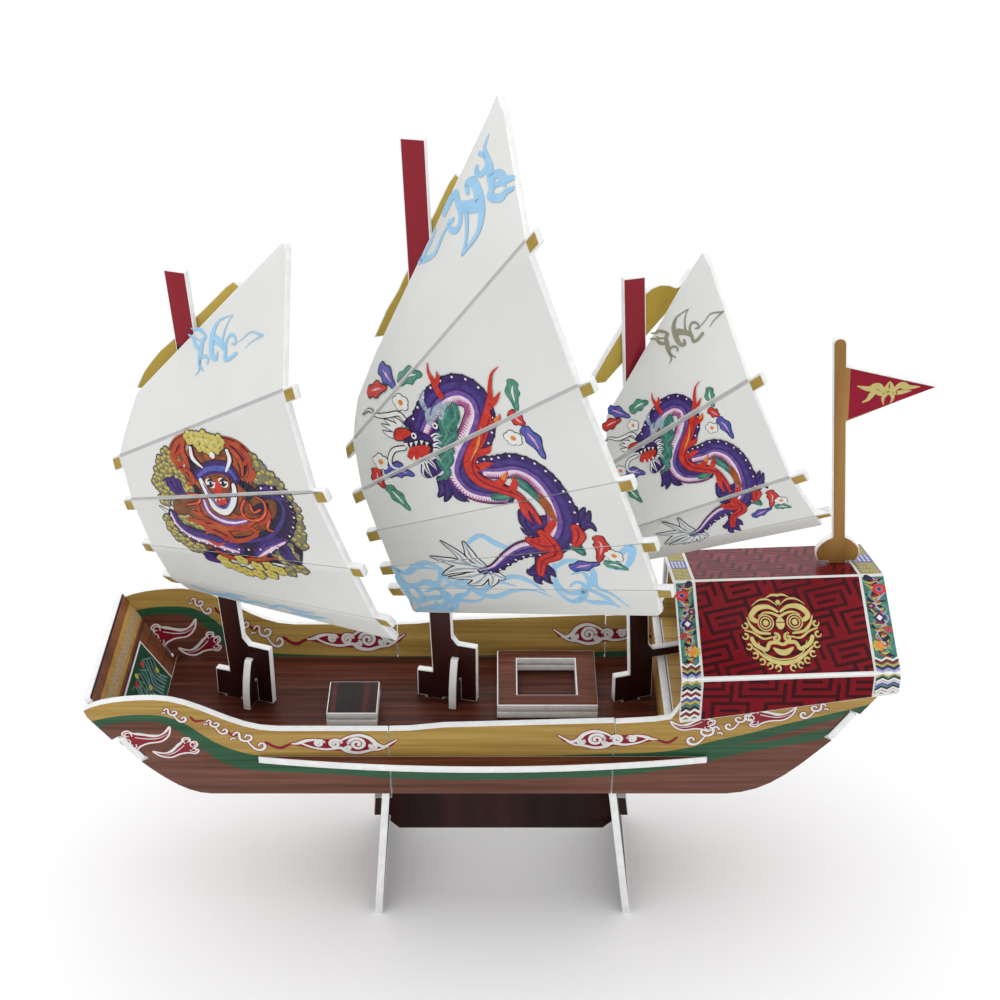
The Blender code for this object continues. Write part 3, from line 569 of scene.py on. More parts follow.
cloudShape = paired([-0.5, 0, -0.36, -0.058, -0.2, -0.095, 0, -0.12, 0.13, -0.142, 0.3, -0.108, 0.44, -0.04,
    0.5, 0.055, 0.42, 0.01, 0.34, -0.01, 0.27, 0.085, 0.14, 0.135, 0.02, 0.108, -0.06, 0.06, -0.16, 0.072,
    -0.27, 0.074, -0.37, 0.052])

# each motif on the side: kind, middle (x, height), size, turn in degrees, flip
hullMotifs = [
    ("flourish", 0.1335, 0.0950, 0.0205, -14, -1), ("flourish", 0.1230, 0.0885, 0.0175, -24, 1),
    ("curl", 0.1220, 0.1072, 0.0098, 22, -1), ("tail", 0.1140, 0.1050, 0.0050, 20, -1),
    ("curl", 0.1068, 0.1010, 0.0098, 26, -1), ("tail", 0.1005, 0.0974, 0.0050, 20, -1),
    ("curl", 0.0950, 0.0932, 0.0142, 18, -1), ("tail", 0.0830, 0.0915, 0.0110, 0, -1),
    ("cloud", 0.0585, 0.0924, 0.0405, 0, -1), ("cloud", -0.0425, 0.0948, 0.0380, 0, 1),
    ("tail", -0.0650, 0.0940, 0.0080, -10, 1), ("curl", -0.0790, 0.0962, 0.0142, -18, 1),
    ("flourish", -0.0745, 0.1022, 0.0165, -8, 1), ("curl", -0.0915, 0.1035, 0.0110, -22, 1),
    ("flourish", -0.1040, 0.1068, 0.0190, -8, -1), ("curl", -0.1195, 0.1094, 0.0110, -18, 1),
]

hullLines = {
    "rimUnder": 0.0013, "rimOver": 0.00075,          # the lines about a flourish
    "under": 0.0009, "cloudUnder": 0.0011,           # how much wider the crimson is than the motif
    "over": 0.0003, "heart": -0.0001,                # and the white
    "cloudSquash": 0.86,
    "insideStern": -0.066, "insideFoot": 0.088,      # the inner faces' ornaments end here
}


def strokes(lines, spot, grow=0.0):
    # the motif's lines as bands, moved to their place
    return [face for line, widths in lines for face in ribbon(placed(line, *spot), [w * spot[2] for w in widths], grow)]


def makeHullPrints():
    lean = math.tan(model["flare"])
    for side, sign in (("port", 1), ("starboard", -1)):
        for face, offset in (("Outside", 0.0), ("Inside", -model["board"])):
            outward = sideways(sign)
            facing = outward if face == "Outside" else -outward

            def place(x, z, h):
                reach = model["sideHalfWidth"] + lean * (z - model["sideHeight"])
                return Vector((x, sign * reach, z)) + outward * offset + facing * h + model["shift"]

            under, over, filled, heart = [], [], [], []
            for kind, x, z, size, turn, flip in hullMotifs:
                if face == "Inside" and (z < hullLines["insideFoot"] or x < hullLines["insideStern"]):
                    continue
                spot = (x, z, size, math.radians(turn), flip)
                if kind == "flourish":
                    # crimson lobes with a white line about them and along their middle
                    outline = smoothLine(placed(flourishShape, *spot), 4, closed=True)
                    under += ribbon(outline + outline[:1], (hullLines["rimUnder"],) * 3)
                    over += ribbon(outline + outline[:1], (hullLines["rimOver"],) * 3)
                    filled.append(outline)
                    heart += strokes(motifs[kind][:2], spot) + strokes(motifs[kind][2:], spot, hullLines["heart"])
                    continue
                if kind == "cloud":
                    shape = [(a, b * hullLines["cloudSquash"]) for a, b in cloudShape]
                    filled.append(smoothLine(placed(shape, *spot), 4, closed=True))
                under += strokes(motifs[kind], spot, hullLines["cloudUnder" if kind == "cloud" else "under"])
                if kind != "tail":
                    over += strokes(motifs[kind], spot, hullLines["over"])
            layPrint(f"{side}{face}Ornaments", place, [("inkCrimson", under + filled), ("inkWhite", over + heart)],
                     "printed_wood")
    print("hull ornaments made")


# sails: folded sheets, as drawn flat in the source
sails = {
    "fore": {
        "place": (0.1400, 0.0004, 0.1998), "turn": 34.5, "tilt": -5.9, "folds": (26, 19, 11.5, 8.5),
        "creases": (((0, 0), (-0.0784, 0.0488)), ((-0.0054, -0.0168), (-0.0919, 0.0144)),
                    ((-0.0081, -0.0387), (-0.1008, -0.0187)), ((-0.0089, -0.0602), (-0.1028, -0.0500))),
        "below": ((-0.0142, -0.0689), (-0.1062, -0.0676)), "tab": (0.0048, 0.0054, 0.0055),
        "grooves": ((0.0007, 0.0004), (0.0007, 0.0004), (0.00022, 0.0002)),
    },
    "main": {
        "place": (0.0526, 0.0070, 0.2107), "turn": 35.3, "tilt": -3.6, "folds": (30, 17, 6, 4.5, 4.5),
        "creases": (((0, 0), (-0.0711, 0.0932)), ((-0.0042, -0.0196), (-0.0947, 0.0484)),
                    ((-0.0080, -0.0388), (-0.1068, 0.0111)), ((-0.0105, -0.0577), (-0.1132, -0.0173)),
                    ((-0.0115, -0.0713), (-0.1169, -0.0425))),
        "below": ((-0.0130, -0.0790), (-0.1173, -0.0575)), "tab": (0.0062, 0.0060, 0.0055),
        "grooves": ((0.0007, 0.0004), (0.0007, 0.0004), (0.00022, 0.0002)),
    },
    "aft": {
        "place": (-0.0410, 0.0133, 0.2033), "turn": 22.0, "tilt": -6.0, "folds": (22, 30, 25),
        "creases": (((0, 0), (-0.0474, 0.0415)), ((-0.0079, -0.0257), (-0.0658, 0.0083)),
                    ((-0.0121, -0.0382), (-0.0761, -0.0128))),
        "below": ((-0.0150, -0.0520), (-0.0800, -0.0265)), "tab": (0.0050, 0.0056, 0.0050),
        "grooves": ((0.0008, 0.0005), (0.0008, 0.0005), (0.0003, 0.0002)),
    },
}


def folded(panel, crease, angle):
    origin, run, upward, facing = panel
    bowEnd, sternEnd = [origin + run * a + upward * b for a, b in crease]
    turn = Matrix.Rotation(angle, 3, (sternEnd - bowEnd).normalized())
    return (bowEnd + turn @ (origin - bowEnd), turn @ run, turn @ upward, turn @ facing)


def sailPanels(row):
    # each panel's origin, run, upward and facing; the head above the first crease is panel 0
    turn, tilt = math.radians(row["turn"]), math.radians(row["tilt"])
    facing = Vector((math.sin(turn) * math.cos(tilt), math.cos(turn) * math.cos(tilt), -math.sin(tilt)))
    run = up.cross(facing).normalized()
    if run.x < 0:
        run.negate()
    upward = facing.cross(run)
    if upward.z < 0:
        upward.negate()
    first = (Vector(row["place"]) + model["shift"], run, upward, facing)
    folds = [math.radians(value) for value in row["folds"]]
    panels = [folded(first, row["creases"][0], -folds[0]), first]
    for crease, fold in zip(row["creases"][1:], folds[1:]):
        panels.append(folded(panels[-1], crease, fold))
    return panels


def scoreCreases(sheet, panels, row):
    # the sheet is scored along its creases, which leaves a shallow groove in its face; the groove's faces are painted a
    # darker grey as painted shade
    sheet.data.materials.append(finish["creaseShadeGrey"])
    bm = bmesh.new()
    bm.from_mesh(sheet.data)
    for number, ends in enumerate(row["creases"]):
        origin, run, upward, facing = panels[number + 1]
        start, end = [origin + run * a + upward * b for a, b in ends]
        inward = -(facing + panels[number][3]).normalized()
        width, depth = row["grooves"][min(number, len(row["grooves"]) - 1)]

        def offLine(point, a, b):
            way = (b - a).normalized()
            return (point - a - way * (point - a).dot(way)).length

        def apart(edge):
            return sum(offLine(vert.co, start, end) for vert in edge.verts)

        edge = min((edge for edge in bm.edges if edge.calc_length() > 0.8 * (end - start).length), key=apart)
        if apart(edge) > 0.002:
            print("no crease found", sheet.name, number)
            continue
        a, b = [vert.co.copy() for vert in edge.verts]
        made = bmesh.ops.bevel(bm, geom=[edge], offset=width, offset_type="OFFSET", segments=2, profile=0.5,
                               affect="EDGES", clamp_overlap=False)
        for vert in made["verts"]:
            if offLine(vert.co, a, b) < width * 0.45:
                vert.co += inward * depth
        # the groove's faces take the darker grey of the painted crease shade
        for face in made["faces"]:
            face.material_index = len(sheet.data.materials) - 1
            face.smooth = False
    bm.to_mesh(sheet.data)
    bm.free()


def makeSails():
    for name, row in sails.items():
        panels = sailPanels(row)
        faces = [(panel[3] * side, "sailPaper") for side in (1, -1) for panel in panels]
        scoreCreases(boardFrom(f"sail_{name}", f"{name}Sail", faces, 0.0007), panels, row)
    print("sails made")


# the sail ornaments, in millimetres on the flat sheet from the bow end of its first crease: each is one line, as x
# and y in turn, or a list of lines
dragon = {key: paired(value) for key, value in {
    "neck": [-30.5, 12.3, -33.8, 20.4, -39.1, 28.2, -46.5, 32.8, -53.5, 31.5, -56.3, 25.3, -53.9, 16.7, -49, 7.2,
        -46.6, -1.4, -50, -6.8, -56.8, -7.3, -63.3, -5.7],
    "back": [-56.2, 4, -61.9, 5.5, -68.9, 8.2, -75.4, 6.8, -80.7, 2, -84, -5.4, -85, -14.5, -82.1, -23.6, -75.6, -29.2,
        -68, -32.6, -61.4, -38.5, -54.7, -46.6, -48.4, -50.4],
    "mane": [-59.4, 27, -56.9, 18.6, -52.5, 9.7, -51, 2.6, -54.4, -2.2, -62, -3.8, -68.7, -5.2, -73.4, -10.6,
        -76, -16.9],
    "jaw": [-34.1, 0.2, -37.8, 3.7, -41, 7.9, -42.4, 4.9, -40.6, -0.1, -37.2, -4.5, -33.1, -7, -31.9, -4.7],
    "antlers": [[-39.6, 28.5, -37.4, 31, -35.7, 33.4, -34, 35.8, -33.4, 39.2], [-36.8, 31.8, -38.1, 34.6, -37.4, 36.9],
        [-57.7, 21.2, -59.3, 29, -60.2, 34, -60, 38.6, -60.6, 43, -63, 46.1], [-60.1, 30.7, -62.5, 33.7, -64.2, 37.2]],
    "manes": [[-53.8, 9.7, -58.7, 12.4, -60.3, 15.1], [-53.5, 3.1, -57.7, 5.9, -60.6, 7.3],
        [-57.6, 21.7, -63.5, 25.6, -64.6, 29.2], [-59.2, -3.2, -63.4, 0.2, -65.9, 5.4],
        [-65.8, -4.8, -68.2, 0.4, -67.6, 4.1], [-69.8, -6.8, -70.9, -13.1, -73.3, -17.6],
        [-74, -26.1, -77.9, -25.3, -82.3, -29.3], [-80.9, -15.6, -77.2, -22.9, -74.4, -31.5]],
    "whiskers": [[-24.9, 13.5, -21.1, 15.9, -16.1, 13.8, -11.5, 12.4, -6.5, 12.9, -3, 10],
        [-23.9, 3.3, -19.1, 0.8, -17.4, -3.6, -19.2, -6.1, -24.4, -4.8], [-31.6, 21.4, -31.1, 23.9, -32.4, 27.6]],
    "tail": [[-51.5, -48, -44.6, -47.8, -40.4, -42.5, -33.9, -37.3],
        [-51.1, -47.5, -46.3, -43.3, -45, -39.6, -43.5, -34.9], [-51.5, -48, -40.5, -48, -34.5, -47.9, -28.2, -47.5],
        [-51.4, -48.6, -42.1, -50.6, -36.6, -53.3, -31.6, -57.7],
        [-51.5, -49.2, -45.6, -53.8, -41.2, -55.8, -33.9, -58.3],
        [-52, -49.8, -47.2, -56.4, -44.8, -58.6, -41.6, -60.7], [-52.2, -50.2, -52.8, -54.1, -50.8, -59.2],
        [-52.6, -49.8, -55.9, -51.7, -58.1, -51.6]],
    "claws": [[-42.7, -5.3, -40.4, -8.8, -39, -9.6], [-43.2, -5.8, -40.9, -10.4, -38.9, -15.4],
        [-44.4, -6, -44.7, -10.6, -46.5, -11.8, -48.8, -13.6], [-45.2, -5.2, -47.9, -8.6, -49.7, -9.8],
        [-71.9, -19.2, -70.1, -18.4, -67.8, -16.7], [-72.7, -21, -70.3, -23.8, -68, -21.6],
        [-74.4, -23.1, -72.7, -25.8, -70.2, -26.7], [-88.2, -12.4, -90, -8.8, -90.4, -5.8],
        [-89.2, -12.1, -92.4, -7.6, -93.5, -5.5], [-89.5, -13.3, -93, -11.1, -95.5, -7],
        [-89.4, -14.6, -93.7, -13.5, -96.7, -14.7], [-73.2, -40.4, -71.6, -45.2, -71.9, -50.3],
        [-74, -40.4, -75.1, -44.2, -75.9, -49.1], [-74.8, -39.7, -77.3, -42.1, -78.1, -45.6],
        [-72.2, -40.9, -69.8, -44.2, -68.8, -47.4]],
    "legs": [[-50.6, -1.4, -46.3, -3.6, -43.4, -5.7], [-78.1, -15.6, -74.9, -18.7, -72.3, -20.8],
        [-83.4, -18.7, -87, -15.2, -89.3, -13], [-74.7, -28.8, -74.5, -34.2, -73.6, -40.4]],
    "knees": [[-89.3, -23.5, -89.3, -27.5, -90.1, -29], [-63.8, -5.6, -61.6, -8.3, -59.6, -9.8],
        [-43, 22, -45.5, 17, -44, 12]],
    "snout": [[-22.9, 9, -18.4, 9.2, -13.6, 9.5], [-22.5, 10, -18.4, 10.9, -14.7, 11.8],
        [-23.1, 11.2, -20.8, 12.7, -18.6, 13.8], [-21.4, 7.2, -17.3, 6.6, -14.1, 7]],
    "hair": [[-36.6, 19.1, -37.3, 22.4, -40.4, 26.7], [-39.9, 20.4, -40.5, 23.8, -43.2, 27.5],
        [-32.7, 21.9, -31.3, 24.4, -32.3, 28.2], [-35, 16.8, -33.9, 19.9, -35.4, 22.8]],
    "locks": [[-45.1, 26.2, -46, 22.1, -42.9, 17.3, -45.1, 15.1], [-42.7, 24, -40.5, 18.5, -42.5, 14.3, -39.6, 9.4],
        [-46, 15.4, -42, 10.2, -43.5, 4, -39.9, -1.5], [-44.3, 8.7, -39.7, 3.1, -41.8, -2.1, -37.1, -6.8],
        [-40.6, 13.7, -37.2, 9.7, -40.8, 6.5]],
    "fringe": [[-35.2, 10.2, -37.9, 12.8, -40.2, 13.3], [-35.8, 8.7, -38.5, 10.6, -40.9, 10.3],
        [-35.8, 7.1, -38.8, 8.2, -40.7, 7.3], [-35.3, 4.6, -37.9, 4.3, -39.7, 2.5],
        [-34.2, 2.2, -36.1, 0.4, -37.6, -2], [-32.9, 0.2, -33.7, -3.1, -35.4, -5.9],
        [-31.6, -0.8, -31.1, -4.9, -32.5, -7.5]],
    "redMass": [[-76.2, -21.9, -79.9, -26.8, -80.1, -32.1, -74.8, -37, -72.8, -45.2],
        [-71, -27.2, -75.5, -28.6, -80.6, -27.5], [-89.5, -15.6, -90.4, -19.4, -88.5, -24.4]],
    "tealMass": [[-68.2, 2.8, -71.5, 0.1, -75.8, -3], [-87.5, -26.3, -89.4, -26.3, -90.7, -28.8],
        [-59.3, -8.7, -62.7, -7.5, -66.3, -5.8]],
    "stripe": [[-77.7, -2.7, -79.4, -7.2, -82.2, -14]],
    "paws": [[-38.6, -6.4, -38.6, -11.1, -36.7, -14.5], [-40.5, -7.6, -40.7, -12.2, -39.1, -15.9],
        [-43.4, -8.6, -44.7, -12.3, -47.3, -13.6], [-42.5, -7.7, -45.9, -8.5, -49.2, -11.1],
        [-69.7, -13.4, -69.3, -18.6, -70.6, -22.1], [-71.2, -16.9, -72.2, -20.7, -75.4, -22.1],
        [-72.5, -14, -76, -16.9, -79.7, -17.4], [-88.7, -12.3, -89.3, -8.4, -90.7, -5.5],
        [-90, -13.2, -91.8, -9, -93.6, -5], [-90.9, -14.2, -94, -10.3, -95.4, -6.2],
        [-90.7, -15.8, -94.7, -12.6, -96.8, -15.2], [-70.6, -45.5, -68.6, -46, -68, -44.4],
        [-71.9, -46.6, -71, -49.8, -72.2, -51.2], [-74.1, -44.5, -74.6, -48, -76.3, -49.8],
        [-75.3, -42.7, -77.1, -43.7, -78.2, -45.1]],
    "nose": [-20.1, 9.3, -24, 11.1, -27.2, 10.5, -25.6, 8.4, -22.5, 6, -19.6, 5.9],
    "skull": [-24, 13.4, -27.8, 17.4, -33.8, 21.7, -38.7, 23.2, -40.4, 19.5, -38.9, 14.6, -34.1, 11.1, -29.1, 10.9,
        -25.7, 12.2],
    "mouth": [-25.7, 6.5, -35.2, 9.8, -36.6, 5.7, -32.2, 0.6, -25.6, 0.2, -26.6, 3.8],
    "tongue": [-26.6, 4.1, -31, 6.7, -35.5, 7.4, -34.2, 3.3, -29.8, 0.1, -25.8, 0.3],
    "lip": [-23.7, 5.4, -24.6, 8.7, -29.6, 11.7, -35.1, 12, -37.2, 9.7, -35.2, 8.5, -31, 8.9, -27, 6.3],
    "fangs": [[-23.9, 5.5, -24.8, 3.6, -25.7, 5.8], [-26.4, 6.3, -27.1, 4.5, -27.9, 6.9],
        [-28.6, 7.5, -29.3, 5.8, -30.1, 8.2], [-31, 8.7, -31.7, 7, -32.6, 9], [-33.4, 8.9, -33.9, 7.3, -35, 9],
        [-27.8, -0.1, -28.5, 1.9, -29.4, 0], [-30.5, 0.2, -31.1, 2.2, -32, 0.8], [-32.9, 1.5, -33.3, 3.5, -34.4, 2.8]],
    "eyes": [-28.3, 9.6, -37.5, 16.4],
    "tealStripe": [[-70, 0.5, -76, -4, -79, -10]],
    "glow": [[-57, 22, -55.2, 14, -51.6, 6]],
    "sparks": [[-63.2, 26.4, -64.4, 28.6], [-63.8, 1.4, -65.4, 4.6]],
}.items()}
beast = {key: paired(value) for key, value in {
    "clumps": [-24.9, 0.1, -26.1, -2.5, -24.3, 7.7, -21.7, 3.7, -20.6, -0.7, -19.5, -5.1, -22.4, -6.6, -26.7, 3.6,
        -30.5, 0.8, -33.4, -2.3, -28.7, 6.7, -25.4, -8.1, -35.3, -3.7, -22.5, -11.6],
    "lowClumps": [-22.1, -21.8, -22.4, -25.7, -24.2, -29.2, -27.8, -31, -30.1, -32.8, -34, -32, -32, -18.5,
        -35.4, -19.4, -28.6, -19.6, -39.5, -21],
    "brightClumps": [-43.6, -37.7, -47.6, -38.7, -51.6, -39.7, -57, -39.3, -63, -37, -68, -32.8, -51.7, -32.1,
        -58, -33.8, -63.9, -31.6, -42.6, -35.5, -38.6, 18.4, -42.5, 19.9, -46.2, 19.6, -49.6, 20.3, -40.5, 16.5,
        -44.1, 16.5, -35.7, 17.7, -48.1, 18],
    "darkClumps": [-76.8, -27.9, -78.7, -28.2, -72.3, -32.2, -81.9, -13.7, -82.3, -8.8, -82.4, -3.9, -82.4, -0.1,
        -78.8, -5.1, -78.4, -11, -75.5, -16.9, -80, 8.5, -76.7, 11.6, -73.1, 13.5, -68.5, 15.9, -64.9, 17.9,
        -67.6, 11.8, -72.2, 9.4, -82.3, 3.6, -72, -25, -69.9, -22.7, -77.1, -21.2],
    "ground": [-35.7, 15.5, -45.3, 20.4, -56.5, 20.7, -64.9, 15.6, -68.5, 9, -77.4, 3.9, -76.6, -7.8, -66.4, -22.9,
        -51.9, -31.3, -38.8, -33.7, -29.4, -28.4, -25.4, -19.7, -27.4, -7.5, -32.5, 3.1],
    "dusk": [-67, 8.6, -73.7, 10.8, -79.8, 7.6, -82.7, -3, -82.3, -14.9, -78.1, -28.1, -69.8, -28.2, -54.1, -31.1,
        -35, -36.7, -36.1, -31.8, -49, -26.2, -61.9, -17, -73.3, -8.4, -76.9, 3.2],
    "flames": [[-35, 17.9, -29.7, 13.9, -27.3, 7.8, -30.4, 4.4, -34.6, 2.3],
        [-48.1, 20.8, -56.6, 21.5, -62.8, 18.8, -64.5, 13.9, -63, 8.8],
        [-32.8, 15.8, -31.9, 11.6, -34.1, 8.3, -35.5, 5.6], [-50.9, 20.2, -56.5, 18.4, -60.2, 14.9, -60.7, 10.4],
        [-32.2, -17.6, -39.2, -18.6, -47.5, -17.4, -51, -21.2],
        [-36.1, -13.2, -41.8, -15.3, -50.4, -16.4, -60.4, -11.2, -64.8, -6.8],
        [-41.5, -30.9, -49.9, -32.1, -59.6, -29.1, -69.4, -24.9],
        [-38.8, -20.3, -43.9, -21, -50.8, -22.3, -58.6, -18.6, -64.3, -12.8]],
    "rings": [[-60.9, 0.6, -58.3, -4.6, -59.7, -8.5, -64.6, -7.8, -68.9, -3.1, -69.6, 2.4, -66.5, 4.2],
        [-62.8, -0.7, -63.7, -4.3, -67.3, -1.7], [-70.1, -6, -68.3, -10.5, -70.7, -11.2],
        [-35.3, -4.9, -40.1, -4.1, -38.9, -7.4, -33.3, -10.2]],
    "horns": [[-36.1, 13.9, -37.3, 10.1, -41.9, 7.9], [-53.5, 18.1, -54.8, 14.8, -53.1, 9.9]],
    "crown": [[-39.8, 3.9, -44.2, 7.9, -49.9, 10.1, -54.6, 10.6, -57.6, 8.4]],
    "maskRim": [[-41, 2.6, -42.9, 0, -45.4, -3.6, -46.4, -7.4, -50.4, -8.2, -54.6, -3.4, -57, 2.1, -56.6, 5.5]],
    "inner": [[-42.4, 1.5, -44.2, -0.6, -46.4, -4.1, -48.1, -6.2, -51.2, -5.9, -54.1, -1.6, -55.7, 3.3]],
    "paw": [[-25, -2.7, -26.9, -5.2, -30.3, -6.5], [-27.3, -1.6, -28.9, -4.1, -31.5, -5.8],
        [-30, -1.8, -30.9, -3.9, -33.8, -5.4], [-36, -34.1, -38, -35.9, -40.2, -37.6],
        [-35.2, -37.6, -38.2, -37.8, -41.5, -38.4], [-69.5, 8.5, -73.1, 8.9, -76.9, 7.5],
        [-72.2, 7, -76.2, 6.4, -80.5, 6.8], [-75.2, -17.9, -76.2, -21.6, -79, -22.6],
        [-72, -21, -74.8, -24, -77.8, -25.3]],
    "sash": [[-41.8, -5.5, -42.9, -11, -47.6, -13.4, -54, -12.5, -60.5, -9]],
    "tailTongues": [[-25.9, -19.5, -22.7, -17.5, -19.1, -15.7], [-26.1, -17.4, -24.6, -13.9, -22.6, -11.4],
        [-26.1, -20.4, -22.2, -21.2, -19.8, -20]],
    "tail": [-24.7, -16.9, -26.3, -22.2, -31.2, -25.3, -38.4, -25.4, -46.3, -26, -51.6, -26],
    "body": [-67.6, 5.5, -74.9, 7.8, -78.7, 2.5, -76.5, -5.8, -69.9, -14.8, -59.9, -20.7, -50.2, -24.4, -44.3, -30.5],
    "under": [-60.3, -26.5, -66.2, -20, -74.3, -14.3],
    "nose": [-48.9, 5.5, -51, 2.5, -50.4, -1, -48.5, -1.3, -47.7, 1.5],
    "eyes": [-45.8, 2.9, -51.7, 5],
    "tongue": [-48.8, -3.3, -52.4, -1.4, -52.4, -3.6, -49.2, -5.3],
    "face": [-43, 3.8, -46.1, 6.4, -49.9, 7.9, -53.8, 7.9, -55, 5.4, -54.2, 1.2, -50.8, -3.8, -47.8, -5.6, -45.7, -2.3,
        -43.6, 0.2],
    "cheeks": [[-44.3, 1.6, -45.5, -0.4, -47.1, -1.7], [-54.2, 5.2, -53.8, 2.5, -52.7, 0.2],
        [-45.1, 5, -48.9, 6.8, -53.2, 7.5]],
    "lids": [[-44.3, 3.3, -45.8, 4.2, -47.4, 3.9], [-50.2, 5, -51.9, 6.3, -53.6, 6.2],
        [-44.3, 1.6, -45.8, 1.8, -47.2, 2.9], [-50.4, 4, -51.9, 4, -53.4, 5.1]],
    "fangs": [[-47.4, -2.8, -47.5, -4.3, -48.5, -2.4], [-49, -2.4, -49.3, -3.7, -50.2, -2.1],
        [-51, -1.6, -51, -3.2, -52.2, -1.1]],
    "veins": [[-37.4, 4.6, -38.8, 0.2, -38.2, -4], [-40.4, 10.3, -38.4, 7.3, -38.9, 5.1],
        [-58.4, 15.9, -60.2, 11.8, -58.3, 5.7], [-55.6, 15, -57.4, 11.7, -59.3, 9.9],
        [-43.3, 14.3, -45.2, 11.8, -49, 12.2, -51.8, 14.6], [-60.2, 5.5, -58.2, 1.6, -58.1, -2.2],
        [-36.3, -0.5, -35.3, -3.3, -37.2, -4.3], [-63.9, 7.5, -62.1, 4.5, -63.7, 3.4]],
    "curls": [[-30.8, 11.3, -28.9, 7.5, -31.1, 5.8, -33.1, 8, -31.9, 9.2],
        [-32.1, 4.1, -35.5, 4, -37.3, 1.4, -35.3, -1.3, -33.6, -0.4],
        [-60.3, 20.3, -63, 18.1, -61.2, 15.2, -59.1, 16.1], [-63.9, 15.3, -66, 12.8, -64.1, 9.9, -62.1, 10.6],
        [-54.7, 21.7, -58.9, 21.8, -60.3, 19.5], [-35, -17.5, -38.8, -17.3, -40.5, -20.5, -38, -23.3],
        [-43.6, -18.7, -48.2, -18.1, -49.2, -21.3, -46.4, -23.7],
        [-55.9, -15.6, -60.8, -13, -62.9, -15.2, -60.1, -18.1], [-54.1, -8.4, -57.5, -8.7, -60.9, -5.2],
        [-38.2, -8.6, -38.2, -12.5, -40.6, -14.7], [-42.9, -32.2, -45.9, -33.6, -51.2, -29.7],
        [-56.4, -28.4, -60.8, -28, -65.2, -24.3], [-65, -9.6, -69.2, -6.3, -71, -1.9, -69.1, -1.1],
        [-39.1, -26.2, -42.5, -27.1, -46.6, -24.9]],
    "shades": [[-35.6, 8.8, -37.4, 5.4, -39.8, 3.8], [-58.4, 17.4, -60.7, 14.3, -60.2, 10.2],
        [-60.2, 7.1, -63.9, 5.9, -62.3, 1], [-38.3, -1.5, -39.7, -3.5, -42.2, -4],
        [-73.1, 7.2, -77.6, 4.9, -77.9, -1.6], [-70.1, -6, -72.9, -9, -70.8, -14.5],
        [-34.7, -35.3, -39.8, -35.9, -45.4, -35.1], [-63.7, -4.3, -67.8, -1, -71, 1.9]],
    "gem": [-46.6, 14.2],
}.items()}
clouds = paired([
    [-45.4, -35.7, -51.1, -30.2, -57.2, -32.9, -63.5, -33.5, -70.5, -27.1],
    [-11.2, -58.4, -16, -60.5, -21, -54.8, -26.9, -51.7, -31.4, -55, -29, -63, -24.1, -65.9, -22.7, -62.5],
    [-13.2, -62.8, -14.4, -68.6, -18.3, -69.1, -20.2, -74.6, -16.8, -80.7, -18, -83],
    [-32.7, -58.1, -35.1, -62.8, -41.4, -62.3, -45.6, -65.6, -51.6, -65.5, -59.7, -59.4, -68, -56.6, -74.7, -58.9],
    [-22.7, -70.4, -27.4, -67.3, -31.6, -69.6, -29.7, -76.6, -25.8, -78.7, -25.4, -75.7],
    [-20, -83.2, -26.5, -82.2, -32.1, -79.2, -35, -72.9, -42.4, -71.6, -47.9, -66.6],
    [-54.6, -55.1, -61.1, -50.3, -67.8, -51.4, -73.1, -56.5],
    [-79.2, -39.9, -84, -34.9, -89.4, -34.5, -93.3, -38.5, -93.7, -47.1, -99.3, -50.2, -104.9, -57],
    [-99.5, -25.4, -104.5, -25.6, -109.6, -19.6, -108.6, -27.8, -105.2, -33.7, -99.8, -34.6],
    [-77, -49.9, -79.1, -56, -83.2, -59.8, -87.9, -55.1, -89.1, -47.7, -86.1, -46.7, -83.4, -50],
    [-86.6, -56.4, -91.1, -58, -96.1, -56.9, -101.6, -57.7],
    [-10.8, -59.1, -15.7, -60.8, -21.9, -55.5, -29.5, -54.6],
    [-11.3, -64.8, -17.5, -67.8, -25.6, -63.3, -30, -68.3, -26.4, -74.5, -22.6, -73],
    [-13.2, -73.1, -17.8, -78.2, -27.4, -72.5, -33.3, -77.2],
    [-15.2, -85.8, -25.3, -79.9, -33.7, -80.7],
    [-31.5, -64.6, -39.6, -59.3, -46, -63.2, -53.8, -55.8, -61.3, -55.8],
    [-78.8, -38.1, -78.4, -49.2, -83.2, -54.3, -91, -47.9, -89.7, -40.2, -84.7, -42.5],
    [-90.4, -49.5, -96.6, -53.1, -100.8, -58.5],
    [-30.8, -81.2, -34.8, -71.2, -39.2, -67.4, -43.4, -61.3],
    [-13, -59, -12, -66.2, -14.7, -73.5, -13.9, -83.5],
])
footCloud = paired([
    [-18, -63, -26, -66, -34, -64, -40, -66, -48, -63.5, -56, -65],
    [-30, -66, -36, -62.5, -43, -62],
    [-52, -66, -58, -61.5, -66, -62, -74, -60],
    [-62, -65, -70, -64.5, -78, -62],
])
